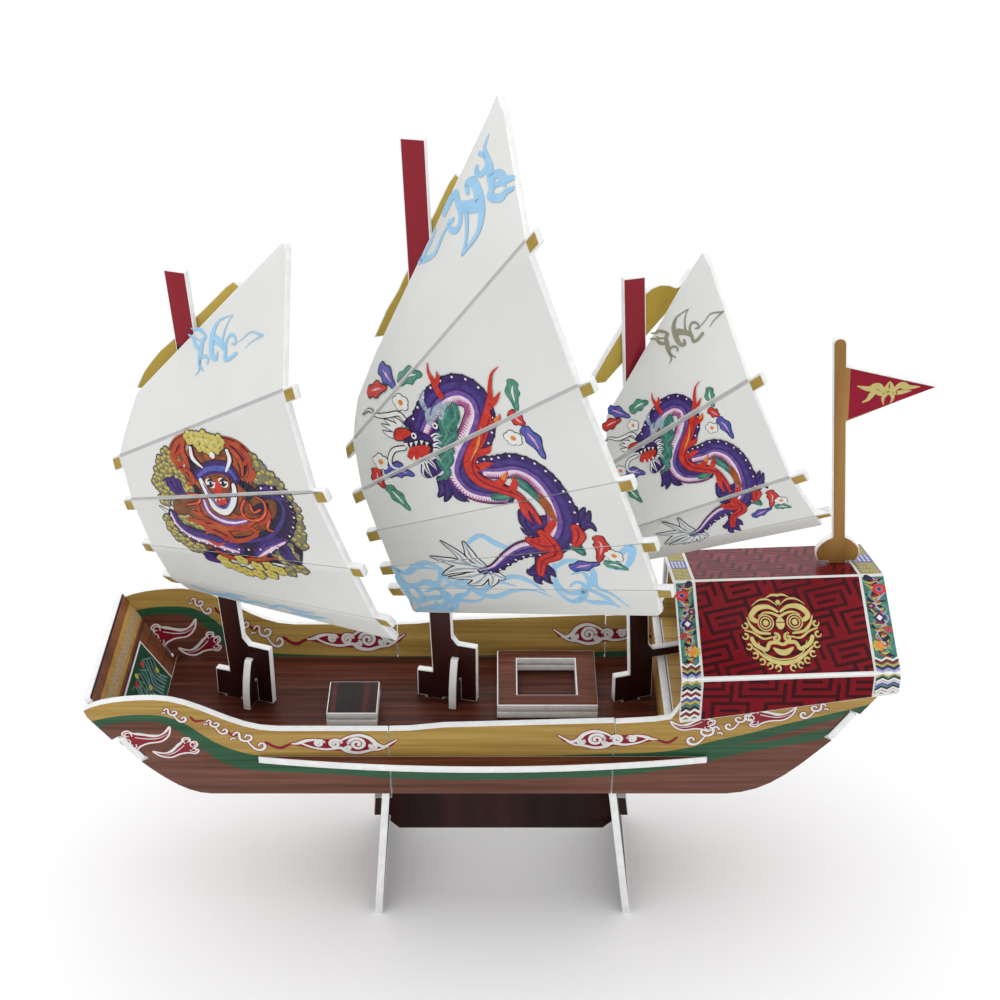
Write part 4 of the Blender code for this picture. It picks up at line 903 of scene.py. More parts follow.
headCloud = [
    ([-35.5, 119.9, -35, 115.3, -38.4, 112.2, -41, 109.8, -43.1, 106.9, -45.3, 104.4, -45.2, 101.4], (0, 3.8, 2.6)),
    ([-32.8, 112.9, -36.9, 112.6, -39.1, 110.2, -37.5, 107, -34.1, 106.7, -33.6, 108.2], (1, 1.8, 1.6)),
    ([-43.5, 107.6, -47.7, 109.4, -51.8, 108.5, -56.2, 110.1], (2.4, 2.6, 1)),
    ([-46.9, 101, -52.1, 102.4, -53.8, 104.5, -57.4, 106.8], (2.2, 2.2, 0.8)),
    ([-45.8, 104.5, -49.5, 106.7, -52.7, 106.6], (1, 1.4, 0.6)),
    ([-32.2, 99.4, -30.3, 101.7, -33.4, 103.4, -37, 101.6, -40, 98.9, -43, 95.7, -44.2, 91.7, -43.7, 87.3,
     -38.6, 79.4], (1.6, 4.6, 0.4)),
    ([-33, 94.6, -36.6, 89.4, -38.6, 83.8, -38.4, 79.3], (2, 1.2, 0.6)),
    ([-38.6, 96.4, -33.4, 94.6, -28.5, 94.3, -25.3, 97.2, -22.9, 94.7, -21.2, 89.4], (4.6, 2.4, 2.2)),
    ([-28.9, 93.6, -31.8, 90.6, -31.9, 86.7, -28.6, 85.2, -25.5, 86.8, -27.7, 88.8], (1.8, 1.8, 1.2)),
    ([-25.1, 85.5, -23.6, 81.6, -21.7, 75.1, -15.1, 70.8], (0.6, 0.9, 1.4)),
    ([-18.4, 83.2, -17.5, 77.8, -13.9, 69.6], (0.5, 0.8, 1.2)),
]
leaves = [
    ("blue", [-5.1, 29.3, -11.5, 27.8, -19.9, 25.1], 5.2), ("red", [-2, 17.9, -7.5, 21, -14.2, 23.8], 5),
    ("green", [-19.4, 28, -25.3, 32.1, -31.3, 34.2], 5.2), ("green", [-69.1, 43.3, -69.1, 38.5, -71.5, 32.2], 4.6),
    ("red", [-67.8, 31.1, -71.5, 28.7, -74.2, 27], 4.4), ("blue", [-72.6, 26, -76.7, 21.6, -80.6, 13.9], 5),
    ("red", [-11.2, -8.7, -12, -12.5, -14.6, -16.9], 5), ("blue", [-14.9, -9.7, -21.5, -6.4, -28, -7.1], 5.2),
    ("green", [-15.5, -14.9, -19.3, -19.3, -23.9, -24.8], 4.6), ("red", [-96.8, -17.7, -98.5, -23, -96.2, -32.4], 5),
    ("blue", [-84.7, -39.3, -90, -36.1, -96.8, -32.8], 4.4),
    ("green", [-98.1, -32.5, -102.6, -32.1, -107.3, -33.7], 3.8),
]
blooms = paired([-21.9, 20.6, -69.1, 20.3, -13.3, -5.7, -102.6, -27])


def fitTo(size=1.0, turn=0.0, move=(0.0, 0.0)):
    # takes millimetres of a drawing to their place on a sail; the turn is in degrees
    c, s = math.cos(math.radians(turn)) * size * mm, math.sin(math.radians(turn)) * size * mm
    return lambda points: [(x * c - y * s + move[0] * mm, x * s + y * c + move[1] * mm) for x, y in points]


def fitFrom(size, turn, start, end):
    # as fitTo, with one point of the drawing taken to its place
    (x, y), = fitTo(size, turn)([start])
    return fitTo(size, turn, (end[0] - x / mm, end[1] - y / mm))


def drawBand(to, line, widths, grow=0.0):
    return [to(face) for face in ribbon(line, widths, grow)]


def band(to, points, widths, grow=0.0):
    # a smooth tapered band in a drawing's millimetres
    return drawBand(to, smoothLine(points), widths, grow)


def blob(to, points):
    return [to(smoothLine(points, 4, closed=True))]


def rim(to, points, width):
    line = smoothLine(points, 4, closed=True)
    return drawBand(to, line + line[:1], (width,) * 3)


def beside(line, offsets):
    # the line moved sideways, by the offsets at its start, middle and end
    return [(x + u * between(offsets, t), y + v * between(offsets, t)) for x, y, u, v, t in walk(line)]


# stripes along a scaled body: part, place towards the belly, share of its width and of its tip's, and growth
bodyStripes = [
    ("edge", 0, 1, 1, 1.0), ("purple", 0, 1, 1, 0.0), ("blue", -0.16, 0.20, 0.20, 0.0),
    ("lilac", 0.20, 0.34, 0.30, 0.0), ("pale", 0.31, 0.24, 0.20, 0.0),
]


def bodyParts(to, points, width, belly, dots):
    # a scaled body with its stripes, teeth and spikes at the belly and white dots; belly and dots give their sides
    line = smoothLine(points, 8)
    part = {}

    def off(share):
        return beside(line, [share * w for w in width])

    for key, share, wide, tip, grow in bodyStripes:
        part[key] = drawBand(to, off(share * belly), (width[0] * wide, width[1] * wide, width[2] * tip), grow)
    part["edge"] += [to(disc(x, y, 1.25, 9)) for x, y in off(-0.46 * dots)[2::3]]
    part["dots"] = [to(disc(x, y, 0.48, 8)) for x, y in off(-0.44 * dots)[3:-2:4]]
    part["teeth"], part["spikes"] = [], []
    for (ax, ay), (bx, by) in zip(off(0.14 * belly)[1:], off(0.50 * belly)[1:]):
        dx, dy = bx - ax, by - ay
        part["teeth"].append(to([(bx - dy * 0.12, by + dx * 0.12), (bx + dy * 0.12, by - dx * 0.12),
                                 (ax + dx * 0.30, ay + dy * 0.30)]))
        part["spikes"].append(to([(ax - dx * 0.42 - dy * 0.05, ay - dy * 0.42 + dx * 0.05),
                                  (ax + dx * 0.30 - dy * 0.14, ay + dy * 0.30 + dx * 0.14),
                                  (ax + dx * 0.30 + dy * 0.14, ay + dy * 0.30 - dx * 0.14)]))
    return part


def leafShape(to, points, width, grow=0.0, wave=0.22):
    # a pointed leaf with a wavy edge along the line
    left, right = [], []
    for x, y, u, v, t in walk(smoothLine(points)):
        swell = math.sin(math.pi * min(t, 0.99) ** 0.75) ** 0.9 * (1 + wave * math.sin(15 * t)) * 1.15
        half = width / 2 * swell + grow / 2
        left.append((x + u * half, y + v * half))
        right.append((x - u * half, y - v * half))
    return [to(face) for face in quads(left, right)]


def flowerParts(to):
    # sprays of a blue, a red and a green leaf about a white flower
    part = {key: [] for key in ("night", "teal", "blue", "red", "green", "white", "rose", "orange")}
    for look, points, width in leaves:
        (ax, ay), (bx, by), (cx, cy) = points = paired(points)
        vein = [((ax + bx) / 2, (ay + by) / 2), (bx, by), ((bx + cx) / 2, (by + cy) / 2)]
        part["teal" if look == "green" else "night"] += leafShape(to, points, width, 0.5)
        part[look] += leafShape(to, points, width, -0.5)
        part["white" if look == "green" else "rose"] += band(to, vein, (0.2, 1.0, 0.2))
    for x, y in blooms:
        petals = [turned(x, y, k * 1.256, 2.0, 0.8) for k in range(5)]
        part["night"] += [to(disc(*petal, 1.9, 12)) for petal in petals]
        part["white"] += [to(disc(*petal, 1.62, 12)) for petal in petals] + [to(disc(x, y, 1.8, 12))]
        part["orange"].append(to(disc(x, y, 1.1, 9)))
    return part


def bandsOf(to, lines, widths, grow=0.0):
    return [face for points in lines for face in band(to, points, widths, grow)]


def headClouds(to, grow=0.0):
    return [face for points, widths in headCloud for face in band(to, paired(points), widths, grow)]


def dragonLayers(to):
    d = dragon
    neck = bodyParts(to, d["neck"], (8.5, 12.6, 8.4), 1, 1)
    back = bodyParts(to, d["back"], (8.4, 12.2, 1.8), 1, 1)
    flowers = flowerParts(to)

    def bands(key, widths, grow=0.0):
        return bandsOf(to, d[key], widths, grow)

    def tongues(grow):
        return [face for points in d["tail"] for face in leafShape(to, points, 3.6, grow, 0.04)]

    def body(part):
        return [("inkPurple", part["purple"]), ("inkDusk", part["blue"]), ("inkViolet", part["lilac"] + part["spikes"]),
                ("inkPale", part["pale"]), ("inkPlum", part["teeth"])]

    neck["edge"] += bands("claws", (2.4, 2.2, 0), 0.6) + bands("paws", (3.4, 2.8, 0.6), 0.7) \
        + bands("legs", (5.6, 4.8, 4.2), 0.8) + rim(to, d["skull"], 1.0)
    neck["purple"] += bands("claws", (2.4, 2.2, 0)) + bands("paws", (3.0, 2.4, 0.3)) \
        + bands("legs", (5.6, 4.8, 4.2)) + blob(to, d["skull"]) + blob(to, d["jaw"])
    neck["blue"] += bands("legs", (1.6, 1.6, 1.2)) + bands("paws", (1.0, 0.8, 0))
    return [
        ("inkBlack", flowers["night"] + tongues(0.8) + bands("whiskers", (1.4, 1.6, 0), 0.8)
         + bands("snout", (2.6, 2.0, 0), 0.7) + bands("hair", (2.2, 2.2, 0.2), 0.6)),
        ("inkTeal", flowers["teal"] + bands("knees", (3.6, 3.4, 1.6)) + bands("tealMass", (4.0, 4.6, 3.0))),
        ("inkBlue", flowers["blue"]),
        ("inkRed", flowers["red"]),
        ("inkGreen", flowers["green"]),
        ("inkWhite", flowers["white"] + tongues(-0.3) + bands("whiskers", (1.4, 1.6, 0))
         + bands("snout", (2.6, 2.0, 0))),
        ("inkRose", flowers["rose"]),
        ("inkOrange", flowers["orange"]),
        ("inkNight", neck["edge"]),
        *body(neck),
        ("inkNight", back["edge"]),
        *body(back),
        ("inkTeal", bands("locks", (3.4, 4.2, 0.6)) + bands("tealMass", (3.0, 3.6, 2.0))
         + bands("tealStripe", (2.6, 3.0, 0))),
        ("inkGreen", bands("locks", (0.6, 1.3, 0.1)) + bands("tealMass", (0.6, 1.2, 0.4))),
        ("inkSteel", bands("hair", (2.2, 2.2, 0.2)) + bands("tail", (0.3, 0.9, 0.1))),
        ("inkWhite", neck["dots"] + back["dots"] + bands("fringe", (2.0, 1.7, 0.0))),
        ("inkPurple", blob(to, d["lip"]) + bands("fringe", (0.5, 0.6, 0.0))),
        ("inkNight", blob(to, d["mouth"]) + rim(to, d["nose"], 0.8)),
        ("inkRust", bands("stripe", (2.0, 4.2, 1.6))),
        ("inkCrimson", band(to, d["mane"], (3.6, 4.6, 1.2), 0.9) + bands("redMass", (3.4, 4.8, 2.2), 0.9)),
        ("inkRed", band(to, d["mane"], (3.6, 4.6, 1.2)) + bands("manes", (3.0, 2.6, 0))
         + bands("antlers", (2.6, 2.1, 0.3)) + blob(to, d["nose"]) + blob(to, d["tongue"])
         + bands("redMass", (3.4, 4.8, 2.2))),
        ("inkCrimson", bands("redMass", (0.4, 1.0, 0.3))
         + band(to, [(x - 1.1, y - 0.3) for x, y in d["mane"]], (0.4, 0.9, 0.2))),
        ("inkOrange", bands("glow", (0.2, 1.1, 0.2)) + bands("sparks", (1.8, 1.2, 0))),
        ("inkWhite", [to(tooth) for tooth in d["fangs"]] + [to(disc(x, y, 1.25, 10)) for x, y in d["eyes"]]),
        ("inkBlack", [to(disc(x + 0.1, y, 0.6, 8)) for x, y in d["eyes"]]),
    ]


def leafClump(to, spots, tone):
    # small overlapping leaves with a dark rim and a lighter tip
    part = {"night": [], "leaf": [], "tip": []}
    for number, spot in enumerate(spots):
        for k in range(5):
            x, y = turned(*spot, k * 1.256 + number * 0.7, 1.65)
            part["night"].append(to(disc(x, y, 1.75, 9)))
            part["leaf"].append(to(disc(x, y, 1.42, 9)))
            part["tip"].append(to(disc(x + 0.35 * tone, y + 0.35, 0.85, 7, 0.7)))
    return part


def medalLayers(to):
    # a round piece of like colours: a generic horned mask with coils, flames and leafy clumps
    d = beast
    left, low = leafClump(to, d["clumps"], 1), leafClump(to, d["lowClumps"], 1)
    bright, dark = leafClump(to, d["brightClumps"], 1), leafClump(to, d["darkClumps"], -1)
    body = bodyParts(to, d["body"], (4.0, 8.4, 4.6), -1, 1)
    tail = bodyParts(to, d["tail"], (2.6, 6.4, 6.0), 1, -1)
    under = bodyParts(to, d["under"], (3.0, 6.0, 3.0), 1, -1)

    def bands(key, widths, grow=0.0):
        return bandsOf(to, d[key], widths, grow)

    def both(key):
        return body[key] + tail[key] + under[key]

    return [
        ("inkNight", bands("tailTongues", (1.6, 1.6, 0), 0.7)),
        ("inkWhite", bands("tailTongues", (1.6, 1.6, 0))),
        ("inkBark", blob(to, d["ground"])),
        ("inkRust", bands("veins", (2.4, 3.2, 1.2)) + bands("flames", (3.4, 5.2, 2.2))
         + bands("sash", (5.0, 7.6, 5.0))),
        ("inkNight", dark["night"] + left["night"] + low["night"] + bands("flames", (2.4, 3.4, 1.4))
         + bands("shades", (3.0, 4.6, 1.4)) + blob(to, d["dusk"])),
        ("inkOlive", low["leaf"] + dark["leaf"] + left["leaf"]),
        ("inkYellow", left["tip"] + low["tip"] + dark["tip"][::2]),
        ("inkNight", both("edge")),
        ("inkNight", body["purple"]),
        ("inkPurple", tail["purple"] + under["purple"] + body["spikes"] + bands("paw", (3.2, 3.0, 0.6))),
        ("inkDusk", both("blue") + bands("paw", (0.9, 0.9, 0.2))),
        ("inkViolet", tail["lilac"] + under["lilac"] + tail["spikes"] + bands("sash", (2.4, 3.6, 2.0))),
        ("inkPale", under["pale"] + tail["pale"] + bands("sash", (0.8, 1.4, 0.6))),
        ("inkPlum", under["teeth"] + tail["teeth"] + body["teeth"][::2]),
        ("inkWhite", both("dots")),
        ("inkNight", bands("rings", (1.8, 2.0, 1.4))),
        ("inkRed", bands("flames", (1.7, 2.4, 0.8)) + bands("curls", (1.2, 1.7, 0.3))
         + bands("rings", (1.2, 1.4, 0.8))),
        ("inkRust", bands("flames", (0.9, 1.4, 0.4)) + bands("curls", (0.4, 0.7, 0.1))),
        ("inkNight", bright["night"]),
        ("inkYellow", bright["leaf"]),
        ("inkMask", bright["tip"]),
        ("inkOrange", bands("rings", (0.3, 0.4, 0.2))),
        ("inkNight", bands("horns", (1.8, 2.2, 1.2), 0.6) + bands("crown", (4.0, 6.0, 4.0), 0.6)
         + bands("maskRim", (2.0, 3.6, 2.0), 0.7)),
        ("inkPurple", bands("crown", (4.0, 6.0, 4.0))),
        ("inkBlue", bands("crown", (1.2, 2.2, 1.0))),
        ("inkRust", blob(to, d["face"])),
        ("inkBark", bands("cheeks", (1.0, 1.4, 0.6))),
        ("inkWhite", bands("horns", (1.4, 1.8, 0.6)) + bands("maskRim", (1.8, 3.2, 1.8))
         + [to(disc(x, y, 2.5, 12, 0.72)) for x, y in d["eyes"]] + [to(disc(*d["gem"][0], 1.3, 10))]
         + [to(tooth) for tooth in d["fangs"]]),
        ("inkBlue", bands("inner", (0.5, 1.3, 0.5))),
        ("inkNight", [to(disc(x, y - 0.1, 0.75, 9)) for x, y in d["eyes"]] + bands("lids", (0.5, 1.1, 0.4))),
        ("inkRed", blob(to, d["nose"]) + blob(to, d["tongue"])),
    ]


def tabShapes(row):
    # the printed face of each tab, a little in from its cut edges
    bowReach, sternReach, height = row["tab"]
    inner, outer = film["tabMargins"]
    shapes = []
    for ends, lower in zip(row["creases"], (*row["creases"][1:], row["below"])):
        for end, other, edgeEnd, reach in ((*ends, lower[0], bowReach), (*ends[::-1], lower[1], sternReach)):
            spot = Vector(end)
            out = (spot - Vector(other)).normalized()
            down = (Vector(edgeEnd) - spot).normalized()
            shapes.append([tuple(spot + out * a + down * b) for a, b in
                           box(inner, (reach - outer[0], height - outer[1]))])
    return shapes


# the head's clouds on the other sails: size, turn in degrees, and a point of theirs with its place
skyPlaces = {
    "fore": (0.71, -151.4, (-14.5, 70.2), (-60.0, 62.7)),
    "aft": (0.52, -166, (-14.5, 70.2), (-32.6, 62.4)),
}
aftDragon = (0.646, -10.95, (4.87, 0.0))      # size, turn and move of the aft sail's dragon


def makeSailPrints():
    flat = fitTo()
    for name, row in sails.items():
        panels = sailPanels(row)

        def place(x, y, h):
            number = 0
            for (ax, ay), (bx, by) in row["creases"]:
                if y > ay + (by - ay) * (x - ax) / (bx - ax):
                    break
                number += 1
            origin, run, upward, facing = panels[number]
            return origin + run * x + upward * y + facing * h

        if name == "main":
            sky = bandsOf(flat, clouds, (1.5, 3.0, 0.6)) + headClouds(flat, 0.6)
            drawing = [("inkSky", sky)] + dragonLayers(flat)
        elif name == "fore":
            sky = headClouds(fitFrom(*skyPlaces[name]), -0.3)
            drawing = [("inkSky", sky + bandsOf(flat, footCloud, (1.2, 2.6, 0.6)))] + medalLayers(flat)
        else:
            sky = headClouds(fitFrom(*skyPlaces[name]))
            drawing = [("inkOliveGrey", sky)] + dragonLayers(fitTo(*aftDragon))
        layPrint(f"{name}SailPrint", place, [("inkTab", tabShapes(row))] + drawing, "printed_white", row["creases"],
                 gap=film["creaseGaps"])
    print("sail prints made")


# the cabin roof's print: key fret, side bands and a mask on the near slope
roofPrint = {
    "front": -0.0685, "rear": -0.149, "ridge": 0.1434, "eave": 0.129, "halfWidth": 0.0445, "rise": 0.0033,
    "flapFront": 0.109, "flapRear": 0.1225,
    "panelEnds": (-0.0764, -0.1392),      # the main panel between the white lines
    "maskPlace": (-0.1070, 0.0262), "maskScale": (0.00087, 0.00112), "maskLevel": 3,
    "fretStep": 0.0033, "fretLine": 0.00145, "fretTurn": math.radians(13),
    "fretReach": 0.008,                             # how far past a panel a hook may start
    "flapFretShift": 0.001,
    "endMargin": 0.0004, "margin": 0.0012, "ridgeMargin": 0.0009, "whiteLine": 0.0011,
    "panelFoot": 0.0004, "stripFoot": 0.0014,       # above the flap's lower edge
}


def towardsStern(x):
    row = roofPrint
    return (row["front"] - x) / (row["front"] - row["rear"])


def roofRise(x):
    return roofPrint["rise"] * towardsStern(x)


def stroke(points, width):
    # straight pieces with square corners
    shapes = []
    for (ax, ay), (bx, by) in zip(points, points[1:]):
        length = math.hypot(bx - ax, by - ay)
        dx, dy = (bx - ax) / length * width / 2, (by - ay) / length * width / 2
        shapes.append([(ax - dx - dy, ay - dy + dx), (ax - dx + dy, ay - dy - dx),
                       (bx + dx + dy, by + dy - dx), (bx + dx - dy, by + dy + dx)])
    return shapes


def keyFret(turn, low, high, shift=0.0):
    # interlocking hooks over a rectangle
    hooks = ([(0, 0), (5, 0), (5, 3), (1, 3), (1, 1), (3.9, 1)], [(3.9, 2), (2.1, 2)], [(6, -0.6), (6, 1.6)])
    c, s = math.cos(turn), math.sin(turn)
    step, past = roofPrint["fretStep"], roofPrint["fretReach"]
    reach = int((abs(high[0] - low[0]) + abs(high[1] - low[1])) / step / 4) + 2
    middle = [(a + b) / 2 + shift for a, b in zip(low, high)]
    shapes = []
    for row in range(-reach, reach):
        for column in range(-reach, reach):
            for hook in hooks:
                spots = [((u + column * 6 + (row % 2) * 3) * step, (v + row * 4) * step) for u, v in hook]
                line = [(middle[0] + a * c - b * s, middle[1] + a * s + b * c) for a, b in spots]
                if any(all(a - past < w < b + past for w, a, b in zip(spot, low, high)) for spot in line):
                    shapes += stroke(line, roofPrint["fretLine"])
    return shapes


def box(low, high):
    return [(low[0], low[1]), (high[0], low[1]), (high[0], high[1]), (low[0], high[1])]


# lines of a generic guardian mask about its middle, as x and y in turn, with widths; each is drawn on both sides
maskLines = [
    ((0.6, 8.6, 4.5, 10.8, 9.5, 10.2, 12.4, 6.8, 10.6, 4.9), (1.2, 3.3, 2.6)),
    ((0, 15.6, 2.5, 15.8, 5.2, 14.6), (1.5, 1.2, 0.2)),
    ((0.5, 11.2, 4, 13.8, 8, 13.8, 11.5, 11.5), (0.3, 1.1, 0.3)),
    ((0.3, 6.6, 3.2, 8, 6.5, 8.3, 9, 6.9), (1.6, 1.2, 0.5)),
    ((14.2, 6.5, 12.8, 3, 9.8, 0.2, 5, -0.6), (0.5, 2, 1.2)),
    ((15.6, 1.2, 12, 0, 8, -2.6, 4.2, -2), (0.8, 1.3, 0.8)),
    ((13, -2.4, 11.6, -5, 7.4, -7.2, 5.6, -4.6, 2.4, -4.4, 0, -5.4), (2.4, 2.2, 1.8)),
    ((12.6, -6.4, 8.6, -9.8, 4.4, -12.2, 0, -12.9), (1, 2.2, 2.4)),
    ((10.4, -4, 8.2, -8.6, 3.6, -11, 0, -11.4), (0.4, 0.8, 0.8)),
]


def maskLayers(to):
    gold = []
    for points, widths in maskLines:
        for side in (1, -1):
            gold += band(to, [(side * x, y) for x, y in paired(points)], [w * 0.74 for w in widths])
    for side in (1, -1):
        gold += drawBand(to, curl(side * 2.6, -2.4, 1.8, 1.6, side * 1.1), (1.2, 1.0, 0.9))
        for radius in (3.3, 2.2):
            gold += drawBand(to, curl(side * 6.3, 4.0, radius, 0, 1.0, 1.0), (0.55,) * 3)
        gold.append(to(disc(side * 6.3, 4.0, 1.25, 12)))
        for angle in (12, -5, -22, -38, -52, -65, -78):
            way = math.radians(angle)
            x, y = side * math.cos(way) * 15.6, math.sin(way) * 15.2
            lobe = curl(x, y, 1.35, way if side > 0 else math.pi - way, side * -0.75, 0.7, 10)
            gold += drawBand(to, lobe, (0.4, 0.8, 0.9))
    gold += [to(disc(0, 12.6, 1.05, 10)), to(disc(0, 3.6, 1.9, 14, 1.35))]
    gold += blob(to, [(-4.4, -6.4), (0, -7.4), (4.4, -6.4), (2.6, -9.0), (0, -9.8), (-2.6, -9.0)])
    eyes = drawBand(to, [(-1.9, 4.0), (1.9, 4.0)], (0.4,) * 3)
    return [("inkMask", gold), ("roofCrimson", eyes + blob(to, [(-1.2, -6.4), (0, -5.8), (1.2, -6.4), (0, -6.8)]))]


# vines of the roof's flower bands: ink, points over the strip as shares, and widths in millimetres
vines = [
    ("inkNight", (0.2, 0, 0.8, 0.12, 0.2, 0.25, 0.8, 0.38, 0.2, 0.52, 0.8, 0.64, 0.3, 0.8), (2.2, 2.4, 1.6)),
    ("inkGreen", (0.9, 0.05, 0.2, 0.2, 0.9, 0.36, 0.2, 0.5, 0.9, 0.66, 0.4, 0.84), (1.2, 1.4, 0.9)),
    ("inkYellow", (0.1, 0.08, 0.7, 0.22, 0.15, 0.34, 0.75, 0.5, 0.2, 0.64, 0.8, 0.78), (0.5, 0.6, 0.4)),
    ("inkLilac", (0.5, 0.02, 0.95, 0.16, 0.4, 0.3, 0.9, 0.46, 0.3, 0.6, 0.6, 0.76), (0.5, 0.6, 0.4)),
]
vineFlowers = [      # place over the strip, size, inner and outer ink
    (0.7, 0.14, 1.0, "inkPurple", "inkRed"), (0.3, 0.74, 1.0, "inkRed", "inkYellow"),
    (0.2, 0.32, 0.55, "inkOrange", "inkPurple"), (0.8, 0.58, 0.55, "inkPurple", "inkRed"),
]


def flowerBand(low, high, flip):
    # vines, flowers and a diamond on a strip; low and high are its corners
    width, height = high[0] - low[0], high[1] - low[1]
    parts = {look: [] for look in ("inkTeal", "inkNight", "inkGreen", "inkYellow", "inkLilac", "inkRed", "inkOrange",
                                   "inkPurple", "inkCrimson", "inkWhite")}

    def at(u, v):
        return (low[0] + (u if flip > 0 else 1 - u) * width, low[1] + v * height)

    def vine(look, points, widths):
        parts[look] += ribbon(smoothLine([at(*spot) for spot in paired(points)], 5), [w * mm for w in widths])

    parts["inkTeal"].append([at(*corner) for corner in box((0, 0), (1, 1))])
    for k in range(15):
        v = 0.02 + k * 0.058
        vine("inkNight", (0.1 + k % 3 * 0.3, v, 0.5, v + 0.03, 0.9 - k % 2 * 0.4, v + 0.01), (1.2, 1.8, 0.3))
        vine("inkYellow", (k % 4 * 0.25, v + 0.02, 0.3 + k % 3 * 0.2, v + 0.05, 0.7, v + 0.03), (0.1, 0.9, 0.2))
        vine("inkRed", (0.75 - k % 3 * 0.3, v, 0.6 - k % 2 * 0.3, v + 0.03, 0.4, v + 0.02), (0.1, 0.8, 0.2))
    for row in vines:
        vine(*row)
    for u, v, size, inner, outer in vineFlowers:
        x, y = at(u, v)
        size *= mm
        for k in range(7):
            parts[outer].append(disc(*turned(x, y, k * 0.9, 1.9 * size), 0.95 * size, 7))
        parts["inkLilac" if outer == "inkRed" else "inkOrange"].append(disc(x, y, 1.5 * size, 9))
        parts[inner].append(disc(x, y, 0.9 * size, 8))
    x, y = at(0.5, 0.45)
    for look, r in (("inkPurple", 2.4 * mm), ("inkWhite", 1.2 * mm)):
        parts[look].append([(x - r, y), (x, y - r * 1.2), (x + r, y), (x, y + r * 1.2)])
    for number, look in enumerate(("inkWhite", "inkCrimson", "inkYellow", "inkPurple", "inkLilac")):
        v = 0.87 + number * 0.028
        parts[look] += ribbon([at(k / 4, v + k % 2 * 0.03) for k in range(5)], (0.8 * mm,) * 3)
    return list(parts.items())


def scrollBand(low, high):
    # an olive strip with scrolls and a blue check in the middle
    width, height = high[0] - low[0], high[1] - low[1]
    x = (low[0] + high[0]) / 2
    scrolls, squares = [], []
    for v in (0.07, 0.19, 0.31, 0.69, 0.81, 0.93):
        y = low[1] + v * height
        for side in (1, -1):
            scroll = curl(x + side * width * 0.24, y, 1.7 * mm, 0.5, side * 1.3)
            scrolls += ribbon(scroll, (0.7 * mm, 0.6 * mm, 0.5 * mm))
        wave = [(low[0] + 0.3 * mm, y - 2.4 * mm), (x, y - 3.2 * mm), (high[0] - 0.3 * mm, y - 2.4 * mm)]
        scrolls += ribbon(smoothLine(wave), (0.4 * mm, 0.9 * mm, 0.4 * mm))
    for row in range(4):
        for column in range(4):
            a, b = low[0] + width * (0.14 + column * 0.21), low[1] + height * (0.405 + row * 0.055)
            squares.append(box((a, b), (a + 0.8 * mm, b + 1.3 * mm)))
    check = box((low[0], low[1] + height * 0.385), (high[0], low[1] + height * 0.625))
    return [("inkOlive", [box(low, high)]), ("inkYellow", scrolls), ("inkBlue", [check]), ("inkWhite", squares)]


def chevronBand(corners):
    # zigzag stripes down a strip given by its four corners
    (ax, ay), (bx, by), (cx, cy), (dx, dy) = corners
    looks = ("inkYellow", "inkTeal", "inkNight", "inkWhite", "inkCrimson", "inkWhite", "inkBlue")
    parts = {look: [] for look in looks}
    for number in range(13):
        v = (number + 0.4) / 13
        zigzag = []
        for k in range(5):
            u = k / 4
            x = (ax + (bx - ax) * u) * (1 - v) + (dx + (cx - dx) * u) * v
            y = (ay + (by - ay) * u) * (1 - v) + (dy + (cy - dy) * u) * v
            zigzag.append((x, y + (0.0009 if k % 2 else -0.0003)))
        parts[looks[number % 7]] += ribbon(zigzag, (0.00095,) * 3)
    return [("inkOlive", [corners])] + [(look, parts[look]) for look in looks]


def sideBySide(first, second):
    # two drawings beside each other share their film levels
    return [layer for level in zip(first, second) for layer in level]


